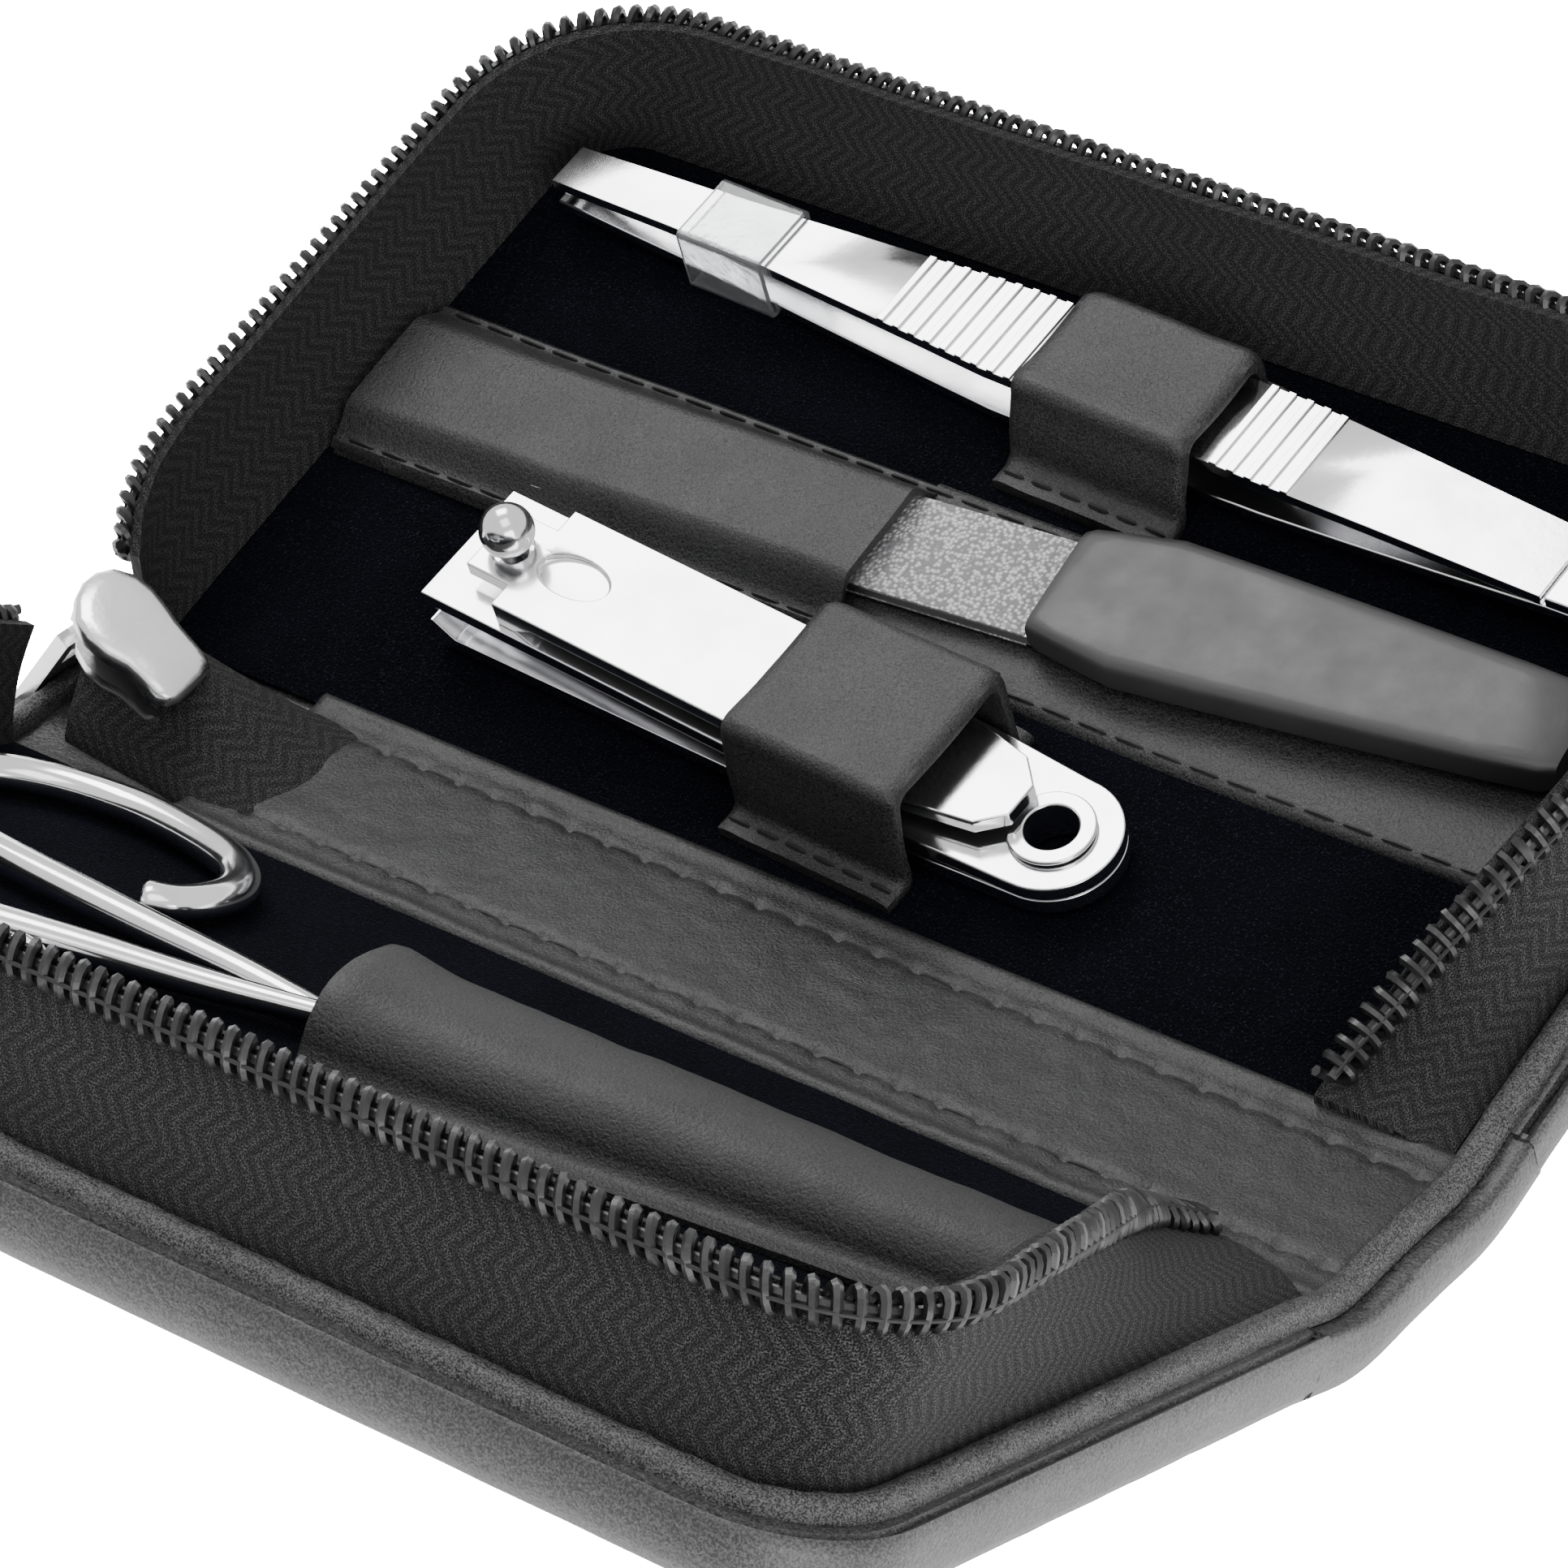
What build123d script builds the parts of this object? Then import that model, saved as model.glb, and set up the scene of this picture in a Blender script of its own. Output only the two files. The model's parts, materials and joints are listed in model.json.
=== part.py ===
"""Zip-around manicure case with its tools, lying half open.

Frame: X runs along the spine (zip slider at -X), +Y points from the spine to
the far edge of the tray that lies flat, +Z is up, and Z = 0 is the surface
that the case rests on. The origin is the centre of the flat tray's underside.
All sizes are in millimetres. A tray is drawn in tray coordinates: x along
the spine, v outwards from its fold axis, z up from the table.
"""
from build123d import *
import os
from math import atan, cos, degrees, radians, sin, tan

os.makedirs("parts", exist_ok=True)

# ---------------------------------------------------------------- the trays
CASE_LENGTH = 115.0        # leather edge to leather edge, along the spine
TRAY_DEPTH = 60.5          # fold axis to the outer leather edge of one tray
SPINE_WIDTH = 15.0         # fold axis to fold axis
FOLD_GAP = 1.3             # bare strip each side of a fold axis
REST_FOLD = 19.2           # angle of each of the two folds, as photographed
RIM_HEIGHT = 12.0          # zip rim over the lining, at the far edge

LEATHER = 1.2              # outer cover leather
PADDING = 1.8              # foam in the cover
BOARD = 1.2                # stiffener in the cover
LINING = 1.3               # velvet lining with its backing
AXIS_BELOW_LINING = 1.0    # fold axes lie just under the lining's surface
EDGE_WIDTH = 4.0           # leather edge outside the zip tape
EDGE_DROP = 0.3            # leather edge lies this much under the lining
COVER_CORNER = 9.0         # plan radius of the cover's outer corners
COVER_ROLL = 2.2           # rolled lower edge of the cover
EDGE_ROLL = 0.6            # rolled upper edge of the cover
LIP_REACH = 2.6            # cover leather that runs on under the fold
LIP_THICK = 1.0
LIP_INSET = 6.0            # the lip stops short of the cover's ends
WELT_RADIUS = 1.0          # rolled leather welt along the fold axis
WELT_WEB = 1.0             # leather between the welt and the cover

# ---------------------------------------------------------------- the zip
TAPE = 0.9                 # woven zip tape
TAPE_CORNER = 6.0          # plan radius of the tape at its sewn foot
LEAN_SIDE = 3.0            # rim leans out by this at the slider's end
LEAN_FAR = 2.0             # and out at the far edge
LEAN_CLOSE = -4.5          # and in at the end away from the slider
RIM_CORNER = 13.0          # plan radius of the rim
COIL_HEIGHT = 2.4          # nylon coil along the rim
COIL_WIDTH = 2.4
RIM_MEETING_GAP = 0.3      # between the two coils with the case shut
RIM_START = 2.0            # the rim dips towards the lining beside the spine
RIM_FULL = 13.0
RIM_DIP = 1.0              # tape left standing at the spine
COIL_START = 12.0          # the first turns at the slider's end run into the slider
BINDING_WIDTH = 2.4        # narrow leather band over the seam
BINDING_HEIGHT = 1.3
BINDING_GAP = 0.35         # to the leaning tape
BINDING_ROUND = 0.5

# ---------------------------------------------------------------- the spine
SPINE_COVER = 1.0          # outer leather of the spine
SPINE_BOARD = 1.2
SPINE_STRIP = 1.0          # sewn inner leather strip
SPINE_END_INSET = 0.6      # the spine is a little shorter than the covers
SPINE_BOARD_INSET = 3.0
STRIP_INSET = 3.6
TAIL_WIDTH = 11.0          # woven tail of the zip, saddled over the spine
TAIL_RIDGE = 2.4
TAIL_LENGTH = 15.5         # from the slider's middle to where it is sewn down
TAIL_HEIGHT = 5.6          # at the slider
TAIL_LOW = 0.8

SLIDER_LENGTH = 13.0
SLIDER_WIDTH = 9.2
SLIDER_TAIL = 5.4          # width of the slider's narrow end
SLIDER_HEAD = 6.0          # width of its rounded front
SLIDER_SHOULDER = 3.0      # the shoulders lie this far ahead of its middle
SLIDER_PLATE = 1.0
SLIDER_MOUTH = 2.0         # room for the coils between its plates
SLIDER_POST = 2.4
SLIDER_PITCH = 20.0        # head raised
SLIDER_FROM_END = 10.0     # its middle lies this far inside the spine's end
TONGUE_WIDTH = 4.4         # joined coils that run into the slider
TONGUE_LENGTH = 5.0
TONGUE_CLEAR = 0.2
EYE_RADIUS = 1.9           # eye under the slider that holds the pull
EYE_WIDTH = 1.8
EYE_BORE = 0.8
PULL_LENGTH = 13.0
PULL_WIDTH = 5.0
PULL_THICK = 1.2
PULL_CHAMFER = 1.6
PULL_WINDOW = 2.7          # opening in the pull that the eye sits in
PULL_HANG = 55.0           # degrees below level, as it hangs
PIVOT_CLEAR = 0.05

# ---------------------------------------------------------------- stitching
STITCH_PITCH = 3.2
STITCH_LENGTH = 2.1
STITCH_WIDTH = 0.5
STITCH_HEIGHT = 0.25
STITCH_MARGIN = 1.0        # from the spine strip's edge to the row

# ------------------------------------------------- pocket, straps, sheath
POCKET_WIDTH = 15.0        # band across the flat tray
POCKET_END_GAP = 0.8       # band's ends to the feet of the tape
POCKET_LEATHER = 0.8
POCKET_HEM = 1.0           # sewn margins of the pocket's front
POCKET_RUN = 0.6           # its sides lean in by this
POCKET_ROOM = 2.0          # height inside
POCKET_EAR_LENGTH = 13.1   # of the sewn margins beyond the open end
POCKET_EAR_CLEAR = 0.5     # from their ends to the file's handle

STRAP_LENGTH = 14.6        # along the tool
STRAP_LEATHER = 1.0
STRAP_FOOT = 2.0           # sewn foot in front
STRAP_CLEAR = 0.35         # around the tool
STRAP_ROUND = 0.8
STRAP_X = 2.6              # middle of both straps, along X
CLIPPER_SHARE = 0.26       # of the flat tray's spare depth, between fold and clipper
POCKET_SHARE = 0.16        # between the clipper's strap and the pocket
TWEEZER_SHARE = 0.27       # between the pocket and the tweezers' strap
TWEEZER_STRAP_RUN = 1.6    # how far a strap's front face runs out
TWEEZER_STRAP_FOOT = 2.0   # sewn foot behind
CLIPPER_STRAP_RUN = 0.5
CLIPPER_STRAP_FOOT = 1.0

SHEATH_LEATHER = 1.0
SHEATH_BEHIND = 5.0        # its mouth lies this far behind the pivot
SHEATH_BEYOND = 2.5        # and its end this far beyond the tips
SHEATH_MOUTH_WIDTH = 14.0
SHEATH_MOUTH_HEIGHT = 6.2
SHEATH_END_WIDTH = 9.4
SHEATH_END_HEIGHT = 4.7
SHEATH_FOOT = 1.8

SEAT = 0.3                 # tools lie this far over what carries them

# ---------------------------------------------------------------- tweezers
TWEEZER_TIP_CLEAR = 4.3    # from the tape's foot to the tips
TWEEZER_END_CLEAR = 8.7    # and from the other end
TWEEZER_TURN = -2.5
TWEEZER_SEAT = 0.65        # the arms' lift, so that the sleeve clears the lining
TWEEZER_WELD = 7.0         # joined tail
TWEEZER_STEEL = 0.9
TWEEZER_BOW = 3.3          # gap between the arms at mid length
TWEEZER_TIP_GAP = 1.2
TWEEZER_TIP_WIDTH = 3.8
TWEEZER_NECK_WIDTH = 4.6
TWEEZER_NECK_AT = 16.0
TWEEZER_GRIP_WIDTH = 8.0
TWEEZER_GRIP_AT = 41.0
TWEEZER_GRIP_END = 64.0
TWEEZER_TAIL_WIDTH = 5.8
ARM_SPLIT = 0.3            # between the moving arm and its welded end
RIB_WIDTH = 0.6
RIB_PITCH = 1.45
RIB_HEIGHT = 0.2
RIBS_FRONT = 9             # on the tip side of the strap
RIBS_REAR = 5
SLEEVE_AT = 13.0           # from the tip
SLEEVE_LENGTH = 7.5
SLEEVE_WALL = 0.4
SLEEVE_CLEAR = 0.15

# ---------------------------------------------------------------- clipper
CLIPPER_NOSE_X = -33.0
CLIPPER_TURN = -3.2
CLIPPER_LENGTH = 55.5
CLIPPER_WIDTH = 10.6
TAIL_TAPER = 8.0           # the jaws narrow over this length before the eyelet
JAW_STEEL = 1.2
JAW_FLAT_BEHIND = 0.6      # the upper jaw lies flat from just before the eyelet
JAW_SEAT = 0.05            # between the two jaws at the eyelet
JAW_RISE = 3.0             # over that length
NOSE_STEEL = 1.1
LOWER_EDGE = 2.5           # height of the lower cutting edge
JAW_GAP = 1.1              # between the cutting edges
LEVER_STEEL = 1.2
LEVER_WIDTH = 9.6
LEVER_NECK = 5.6           # width where the lever meets the pin
LEVER_NECK_START = 2.8     # from the nose
LEVER_SHOULDER = 6.6
LEVER_BORE_CLEAR = 0.2     # the lever's end stops short of the eyelet's bore
LEVER_TAPER = 10.6         # length of its narrowing end
LEVER_TAIL_WIDTH = 6.4
LEVER_TAIL_ROUND = 1.8
LEVER_LIFT = 0.9           # over the upper jaw
LEVER_FOOT = 1.6           # bent foot that bears on the upper jaw
DIMPLE_LENGTH = 6.0
DIMPLE_WIDTH = 3.4
DIMPLE_DEPTH = 0.4
DIMPLE_AT = 10.2
PIN_AT = 4.8
PIN_RADIUS = 1.1
PIN_HOLE = 1.5
PIN_HEAD = 2.0
EYELET_FROM_END = 4.9      # round tail of the jaws
EYELET_BORE = 1.9
EYELET_WALL = 0.45
EYELET_FLANGE = 3.1
EYELET_LIP = 0.35
EYELET_CLEAR = 0.05

# ---------------------------------------------------------------- nail file
FILE_END_CLEAR = 8.0       # from the handle's end to the tape's foot
FILE_ASIDE = 6.2           # blade's middle at its tip, from the pocket's edge
FILE_TURN = 4.0
FILE_BLADE_LENGTH = 50.0
FILE_BLADE_WIDTH = 8.8
FILE_STEEL = 0.8
GRIT = 0.15
GRIT_LENGTH = 43.5
HANDLE_START = 44.0        # from the blade's tip
HANDLE_LENGTH = 39.5
HANDLE_THICK = 3.0
HANDLE_NECK = 9.8
HANDLE_BULGE = 12.4
HANDLE_BULGE_AT = 7.0
HANDLE_END = 8.0
HANDLE_ROUND = 0.7

# ---------------------------------------------------------------- scissors
BOW_END_CLEAR = 4.9        # from the tape's foot to the bows
SHEATH_END_CLEAR = 7.6     # from the sheath to the tape's other foot
PIVOT_SHARE = 0.4185       # of the raised tray's depth
SCISSOR_TURN = -7.0
BLADE_WIDTH = 5.4
BLADE_TIP = 0.8
BLADE_STEEL = 1.3
BLADE_CLEAR = 0.05         # between the two halves
SHANK_WIDTH = 3.6
SHANK_BEND = 14.0          # behind the pivot
SHANK_SPREAD = 3.2         # to each side, at the bend
BOW_BEHIND = 33.5          # middle of a bow, behind the pivot
BOW_ASIDE = 15.0           # and to the side
BOW_LONG = 16.5            # half of the bow's outer length
BOW_SHORT = 8.4
BOW_RIM = 3.0
SCREW_RADIUS = 1.4
SCREW_HEAD = 2.6
SCREW_HEAD_HEIGHT = 0.8

# ---------------------------------------------------------------- worked out
CORE_TOP = LEATHER + PADDING + BOARD
FLOOR = CORE_TOP + LINING
AXIS_Z = FLOOR - AXIS_BELOW_LINING
EDGE_TOP = FLOOR - EDGE_DROP
ORIGIN_V = TRAY_DEPTH / 2
HALF = CASE_LENGTH / 2
SEAM_HALF = HALF - EDGE_WIDTH
SEAM_DEPTH = TRAY_DEPTH - EDGE_WIDTH
MEET = (SPINE_WIDTH - RIM_MEETING_GAP) / 2
WEDGE = atan((RIM_HEIGHT + AXIS_BELOW_LINING - MEET) / SEAM_DEPTH)
CLOSED_FOLD = 90.0 - degrees(WEDGE)

SLIDER_CENTRE = -HALF + SLIDER_FROM_END
TAIL_END = SLIDER_CENTRE + TAIL_LENGTH
TWEEZER_TIP_X = -SEAM_HALF + TWEEZER_TIP_CLEAR
TWEEZER_LENGTH = 2 * SEAM_HALF - TWEEZER_TIP_CLEAR - TWEEZER_END_CLEAR
FILE_TIP_X = SEAM_HALF - FILE_END_CLEAR - HANDLE_START - HANDLE_LENGTH
POCKET_EAR = FILE_TIP_X + HANDLE_START - POCKET_EAR_CLEAR
POCKET_MOUTH = POCKET_EAR - POCKET_EAR_LENGTH
PIVOT_X = -SEAM_HALF + BOW_END_CLEAR + BOW_LONG + BOW_BEHIND
PIVOT_V = FOLD_GAP + PIVOT_SHARE * (SEAM_DEPTH - FOLD_GAP)
BLADE_LENGTH = SEAM_HALF - SHEATH_END_CLEAR - PIVOT_X - SHEATH_BEYOND
EYELET_AT = CLIPPER_LENGTH - EYELET_FROM_END
JAW_FLAT = EYELET_AT - JAW_FLAT_BEHIND
LEVER_END = EYELET_AT - EYELET_BORE - LEVER_BORE_CLEAR


def strap_reach(side, run, foot):
    """How far a strap over a tool of half width side reaches, to the front and behind."""
    loop = side + STRAP_CLEAR + STRAP_LEATHER
    return loop + run + STRAP_FOOT, loop + foot


def beside_strap(axis_v, from_x, turn):
    """Distance from the fold of a tool's axis at from_x, if it is axis_v under the strap."""
    return axis_v - (STRAP_X - from_x) * tan(radians(turn))


tweezer_side = TWEEZER_GRIP_WIDTH / 2
clipper_side = CLIPPER_WIDTH / 2
clipper_front, clipper_back = strap_reach(clipper_side, CLIPPER_STRAP_RUN, CLIPPER_STRAP_FOOT)
tweezer_front, tweezer_back = strap_reach(tweezer_side, TWEEZER_STRAP_RUN, TWEEZER_STRAP_FOOT)
SPARE_DEPTH = (SEAM_DEPTH - TAPE - FOLD_GAP - clipper_front - clipper_back - POCKET_WIDTH
               - tweezer_front - tweezer_back)
CLIPPER_STRAP_V = FOLD_GAP + CLIPPER_SHARE * SPARE_DEPTH + clipper_front
POCKET_MIN = CLIPPER_STRAP_V + clipper_back + POCKET_SHARE * SPARE_DEPTH
POCKET_MAX = POCKET_MIN + POCKET_WIDTH
TWEEZER_STRAP_V = POCKET_MAX + TWEEZER_SHARE * SPARE_DEPTH + tweezer_front
CLIPPER_NOSE_V = beside_strap(CLIPPER_STRAP_V, CLIPPER_NOSE_X, CLIPPER_TURN)
TWEEZER_TIP_V = beside_strap(TWEEZER_STRAP_V, TWEEZER_TIP_X, TWEEZER_TURN)
FILE_TIP_V = POCKET_MIN + FILE_ASIDE


def rim_z(v):
    """Height of the zip rim: the two rims meet in one plane when shut."""
    return AXIS_Z + (MEET + v * sin(WEDGE)) / cos(WEDGE)


# ---------------------------------------------------------------- helpers
def save(node, shape):
    """Write one node: a solid, or a group of separate solids."""
    export_step(shape, "parts/%s.step" % node)


def place_far(shape):
    return Pos(0, -ORIGIN_V, 0) * shape


def place_spine(shape):
    """The spine is drawn flat, beyond the flat tray's fold axis."""
    return Pos(0, -ORIGIN_V, AXIS_Z) * Rot(X=-REST_FOLD) * Pos(0, 0, -AXIS_Z) * shape


def place_near(shape):
    """The other tray is the mirror image, folded on from the spine."""
    flipped = mirror(shape, about=Plane.XZ)
    folded = Pos(0, -SPINE_WIDTH, AXIS_Z) * Rot(X=-REST_FOLD) * Pos(0, 0, -AXIS_Z) * flipped
    return place_spine(folded)


def block(x0, x1, y0, y1, z0, z1):
    centre = Pos((x0 + x1) / 2, (y0 + y1) / 2, (z0 + z1) / 2)
    return centre * Box(x1 - x0, y1 - y0, z1 - z0)


def polygon(*points):
    return make_face(Polyline(*points, close=True))


def plate(face, z0, z1):
    return extrude(Pos(0, 0, z0) * face, z1 - z0)


def along_x(points, x0, x1):
    """Solid with a section given in (y, z), from x0 to x1."""
    section = Plane((x0, 0, 0), x_dir=(0, 1, 0), z_dir=(1, 0, 0)) * polygon(*points)
    return extrude(section, x1 - x0)


def across_y(points, width):
    """Solid with a side view given in (x, z), width across, centred."""
    side = Plane((0, width / 2, 0), x_dir=(1, 0, 0), z_dir=(0, -1, 0)) * polygon(*points)
    return extrude(side, width)


def tray_face(x0, x1, v0, v1, radius):
    """Plan of a tray-shaped piece: square at the fold, rounded outside."""
    cut = radius * (1 - cos(radians(45)))
    edges = [
        Line((x0, v0), (x1, v0)),
        Line((x1, v0), (x1, v1 - radius)),
        ThreePointArc((x1, v1 - radius), (x1 - cut, v1 - cut), (x1 - radius, v1)),
        Line((x1 - radius, v1), (x0 + radius, v1)),
        ThreePointArc((x0 + radius, v1), (x0 + cut, v1 - cut), (x0, v1 - radius)),
        Line((x0, v1 - radius), (x0, v0)),
    ]
    return make_face(edges)


def stitches(x0, x1, v, z):
    """One straight row of separate stitches on a surface at height z."""
    count = int((x1 - x0) / STITCH_PITCH)
    start = (x0 + x1) / 2 - (count - 1) * STITCH_PITCH / 2
    row = []
    for i in range(count):
        x = start + i * STITCH_PITCH
        half = STITCH_LENGTH / 2
        row.append(block(x - half, x + half, v - STITCH_WIDTH / 2, v + STITCH_WIDTH / 2,
                         z, z + STITCH_HEIGHT))
    return row


def group(solids):
    return Compound(children=list(solids))


# ---------------------------------------------------------------- one tray
def cover():
    """Leather cover: rolled edges, open over the core, with its fold lip and welt."""
    shell = plate(tray_face(-HALF, HALF, FOLD_GAP, TRAY_DEPTH, COVER_CORNER), 0, EDGE_TOP)
    outside = [e for e in shell.edges() if e.center().Y > FOLD_GAP + 0.01]
    shell = fillet([e for e in outside if e.center().Z < 0.01], COVER_ROLL)
    outside = [e for e in shell.edges() if e.center().Y > FOLD_GAP + 0.01]
    shell = fillet([e for e in outside if e.center().Z > EDGE_TOP - 0.01], EDGE_ROLL)
    shell -= plate(core_face(), LEATHER, CORE_TOP)
    shell -= plate(lining_face(), CORE_TOP, EDGE_TOP + 1)
    end = HALF - LIP_INSET
    lip = block(-end, end, -LIP_REACH, FOLD_GAP, 0, LIP_THICK)
    welt = Pos(0, 0, AXIS_Z) * Rot(Y=90) * Cylinder(WELT_RADIUS, 2 * end)
    web = block(-end, end, 0, FOLD_GAP, AXIS_Z - WELT_WEB / 2, AXIS_Z + WELT_WEB / 2)
    return shell + lip + web + welt


def core_face():
    return tray_face(-HALF + LEATHER, HALF - LEATHER, FOLD_GAP + LEATHER,
                     TRAY_DEPTH - LEATHER, COVER_CORNER - LEATHER)


def lining_face():
    return tray_face(-SEAM_HALF, SEAM_HALF, FOLD_GAP + LEATHER, SEAM_DEPTH, TAPE_CORNER)


def padding():
    return plate(core_face(), LEATHER, LEATHER + PADDING)


def board():
    return plate(core_face(), LEATHER + PADDING, CORE_TOP)


def lining():
    return plate(lining_face(), CORE_TOP, FLOOR)


def binding():
    near = BINDING_GAP
    far = BINDING_GAP + BINDING_WIDTH
    outer = tray_face(-SEAM_HALF - far, SEAM_HALF + far, FOLD_GAP, SEAM_DEPTH + far,
                      TAPE_CORNER + far)
    inner = tray_face(-SEAM_HALF - near, SEAM_HALF + near, FOLD_GAP - 1, SEAM_DEPTH + near,
                      TAPE_CORNER + near)
    top = EDGE_TOP + BINDING_HEIGHT
    band = plate(outer, EDGE_TOP, top) - plate(inner, EDGE_TOP - 1, top + 1)
    long_edges = [e for e in band.edges() if e.center().Z > top - 0.01]
    long_edges = [e for e in long_edges if e.length > BINDING_WIDTH * 1.5]
    return fillet(long_edges, BINDING_ROUND)


def lean_body(grow):
    """Inside of the leaning tape walls, grown outwards by grow."""
    top = rim_z(SEAM_DEPTH) + 3
    reach = (top - FLOOR) / RIM_HEIGHT
    foot = tray_face(-SEAM_HALF - grow, SEAM_HALF + grow, -5 - grow, SEAM_DEPTH + grow,
                     TAPE_CORNER + grow)
    mouth = tray_face(-SEAM_HALF - grow - LEAN_SIDE * reach, SEAM_HALF + grow + LEAN_CLOSE * reach,
                      -5 - grow, SEAM_DEPTH + grow + LEAN_FAR * reach,
                      TAPE_CORNER + (RIM_CORNER - TAPE_CORNER) * reach + grow)
    return loft([Pos(0, 0, FLOOR) * foot, Pos(0, 0, top) * mouth], ruled=True)


def under_rim(drop):
    """Everything between the lining and the zip rim, lowered by drop."""
    end = TRAY_DEPTH + 10
    start_z = FLOOR + RIM_DIP + COIL_HEIGHT
    points = [(RIM_START, FLOOR), (RIM_START, start_z - drop), (RIM_FULL, rim_z(RIM_FULL) - drop),
              (end, rim_z(end) - drop), (end, FLOOR)]
    return along_x(points, -HALF - 10, HALF + 10)


def tape():
    wall = lean_body(0) - lean_body(-TAPE)
    return wall & under_rim(COIL_HEIGHT)


def coil():
    middle = -TAPE / 2
    band = lean_body(middle + COIL_WIDTH / 2) - lean_body(middle - COIL_WIDTH / 2)
    slider_end = block(-HALF - 10, 0, -10, COIL_START, 0, 3 * RIM_HEIGHT)
    return band & (under_rim(0) - under_rim(COIL_HEIGHT)) - slider_end


# ---------------------------------------------------------------- the spine
def spine_plate(inset, z0, z1):
    return block(-HALF + inset, HALF - inset, -SPINE_WIDTH + FOLD_GAP, -FOLD_GAP, z0, z1)


SPINE_LOW = FLOOR - SPINE_STRIP - SPINE_BOARD - SPINE_COVER
SPINE_MID_LOW = SPINE_LOW + SPINE_COVER
SPINE_MID_HIGH = SPINE_MID_LOW + SPINE_BOARD


def spine_stitches():
    x0 = TAIL_END + 1
    x1 = HALF - STRIP_INSET
    back = -FOLD_GAP - STITCH_MARGIN
    front = -SPINE_WIDTH + FOLD_GAP + STITCH_MARGIN
    return group(stitches(x0, x1, back, FLOOR) + stitches(x0, x1, front, FLOOR))


def slider_place(shape):
    """Slider coordinates: +x towards its narrow end, z square to its plates."""
    drop = (SLIDER_LENGTH / 2) * sin(radians(SLIDER_PITCH))
    z = FLOOR + TAIL_HEIGHT - SLIDER_MOUTH / 2 + drop
    return Pos(SLIDER_CENTRE, -SPINE_WIDTH / 2, z) * Rot(Y=SLIDER_PITCH) * shape


def zip_tail():
    """Both tapes, closed, saddled over the spine and sewn down."""
    x0 = SLIDER_CENTRE + (SLIDER_LENGTH / 2) * cos(radians(SLIDER_PITCH)) + 2 * TONGUE_CLEAR
    middle = -SPINE_WIDTH / 2

    def section(x, height):
        points = [(middle - TAIL_WIDTH / 2, FLOOR), (middle + TAIL_WIDTH / 2, FLOOR),
                  (middle + TAIL_RIDGE / 2, FLOOR + height),
                  (middle - TAIL_RIDGE / 2, FLOOR + height)]
        plane = Plane((x, 0, 0), x_dir=(0, 1, 0), z_dir=(1, 0, 0))
        return plane * polygon(*points)

    saddle = loft([section(x0, TAIL_HEIGHT), section(TAIL_END, TAIL_LOW)], ruled=True)
    half = SLIDER_MOUTH / 2 - TONGUE_CLEAR
    end = SLIDER_LENGTH / 2
    tongue = block(end - TONGUE_LENGTH, end + 1.5, -TONGUE_WIDTH / 2, TONGUE_WIDTH / 2, -half, half)
    return saddle + slider_place(tongue)


def slider_face():
    end = SLIDER_LENGTH / 2
    points = [(end, -SLIDER_TAIL / 2), (end, SLIDER_TAIL / 2), (0.5, SLIDER_TAIL / 2 + 0.3),
              (-SLIDER_SHOULDER, SLIDER_WIDTH / 2), (-end + 1.2, SLIDER_WIDTH / 2 - 0.6),
              (-end, SLIDER_HEAD / 2), (-end, -SLIDER_HEAD / 2),
              (-end + 1.2, -SLIDER_WIDTH / 2 + 0.6), (-SLIDER_SHOULDER, -SLIDER_WIDTH / 2),
              (0.5, -SLIDER_TAIL / 2 - 0.3)]
    return polygon(*points)


EYE_X = -SLIDER_LENGTH / 2 + EYE_RADIUS
EYE_Z = -SLIDER_MOUTH / 2 - SLIDER_PLATE - EYE_RADIUS + 0.3


def slider():
    """Two plates, the post that parts the coils, and the eye for the pull."""
    gap = SLIDER_MOUTH / 2
    body = plate(slider_face(), gap, gap + SLIDER_PLATE)
    body += plate(slider_face(), -gap - SLIDER_PLATE, -gap)
    post_x = -SLIDER_LENGTH / 2 + SLIDER_POST
    body += block(post_x - SLIDER_POST / 2, post_x + SLIDER_POST / 2, -SLIDER_POST / 2,
                  SLIDER_POST / 2, -gap, gap)
    eye = Pos(EYE_X, 0, EYE_Z) * Rot(X=90) * Cylinder(EYE_RADIUS, EYE_WIDTH)
    body += eye
    return body - Pos(EYE_X, 0, EYE_Z) * Rot(X=90) * Cylinder(EYE_BORE, EYE_WIDTH + 2)


def pull():
    """Flat pull, drawn along +x from its pivot bar, then hung from the eye."""
    half = PULL_WIDTH / 2
    cut = PULL_CHAMFER
    tab = plate(polygon((-EYE_BORE, -half), (PULL_LENGTH - cut, -half), (PULL_LENGTH, -half + cut),
                        (PULL_LENGTH, half - cut), (PULL_LENGTH - cut, half), (-EYE_BORE, half)),
                -PULL_THICK / 2, PULL_THICK / 2)
    window = EYE_RADIUS + 0.5
    tab -= block(-2, window, -PULL_WINDOW / 2, PULL_WINDOW / 2, -PULL_THICK, PULL_THICK)
    bar = Rot(X=90) * Cylinder(EYE_BORE - PIVOT_CLEAR, PULL_WINDOW)
    hung = Rot(Y=180 - SLIDER_PITCH - PULL_HANG) * (tab + bar)
    return Pos(EYE_X, 0, EYE_Z) * hung


# ------------------------------------------------- pocket, straps, sheath
def pocket_base():
    end = SEAM_HALF - TAPE - POCKET_END_GAP
    return block(-end, end, POCKET_MIN, POCKET_MAX, FLOOR, FLOOR + POCKET_LEATHER)


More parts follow.
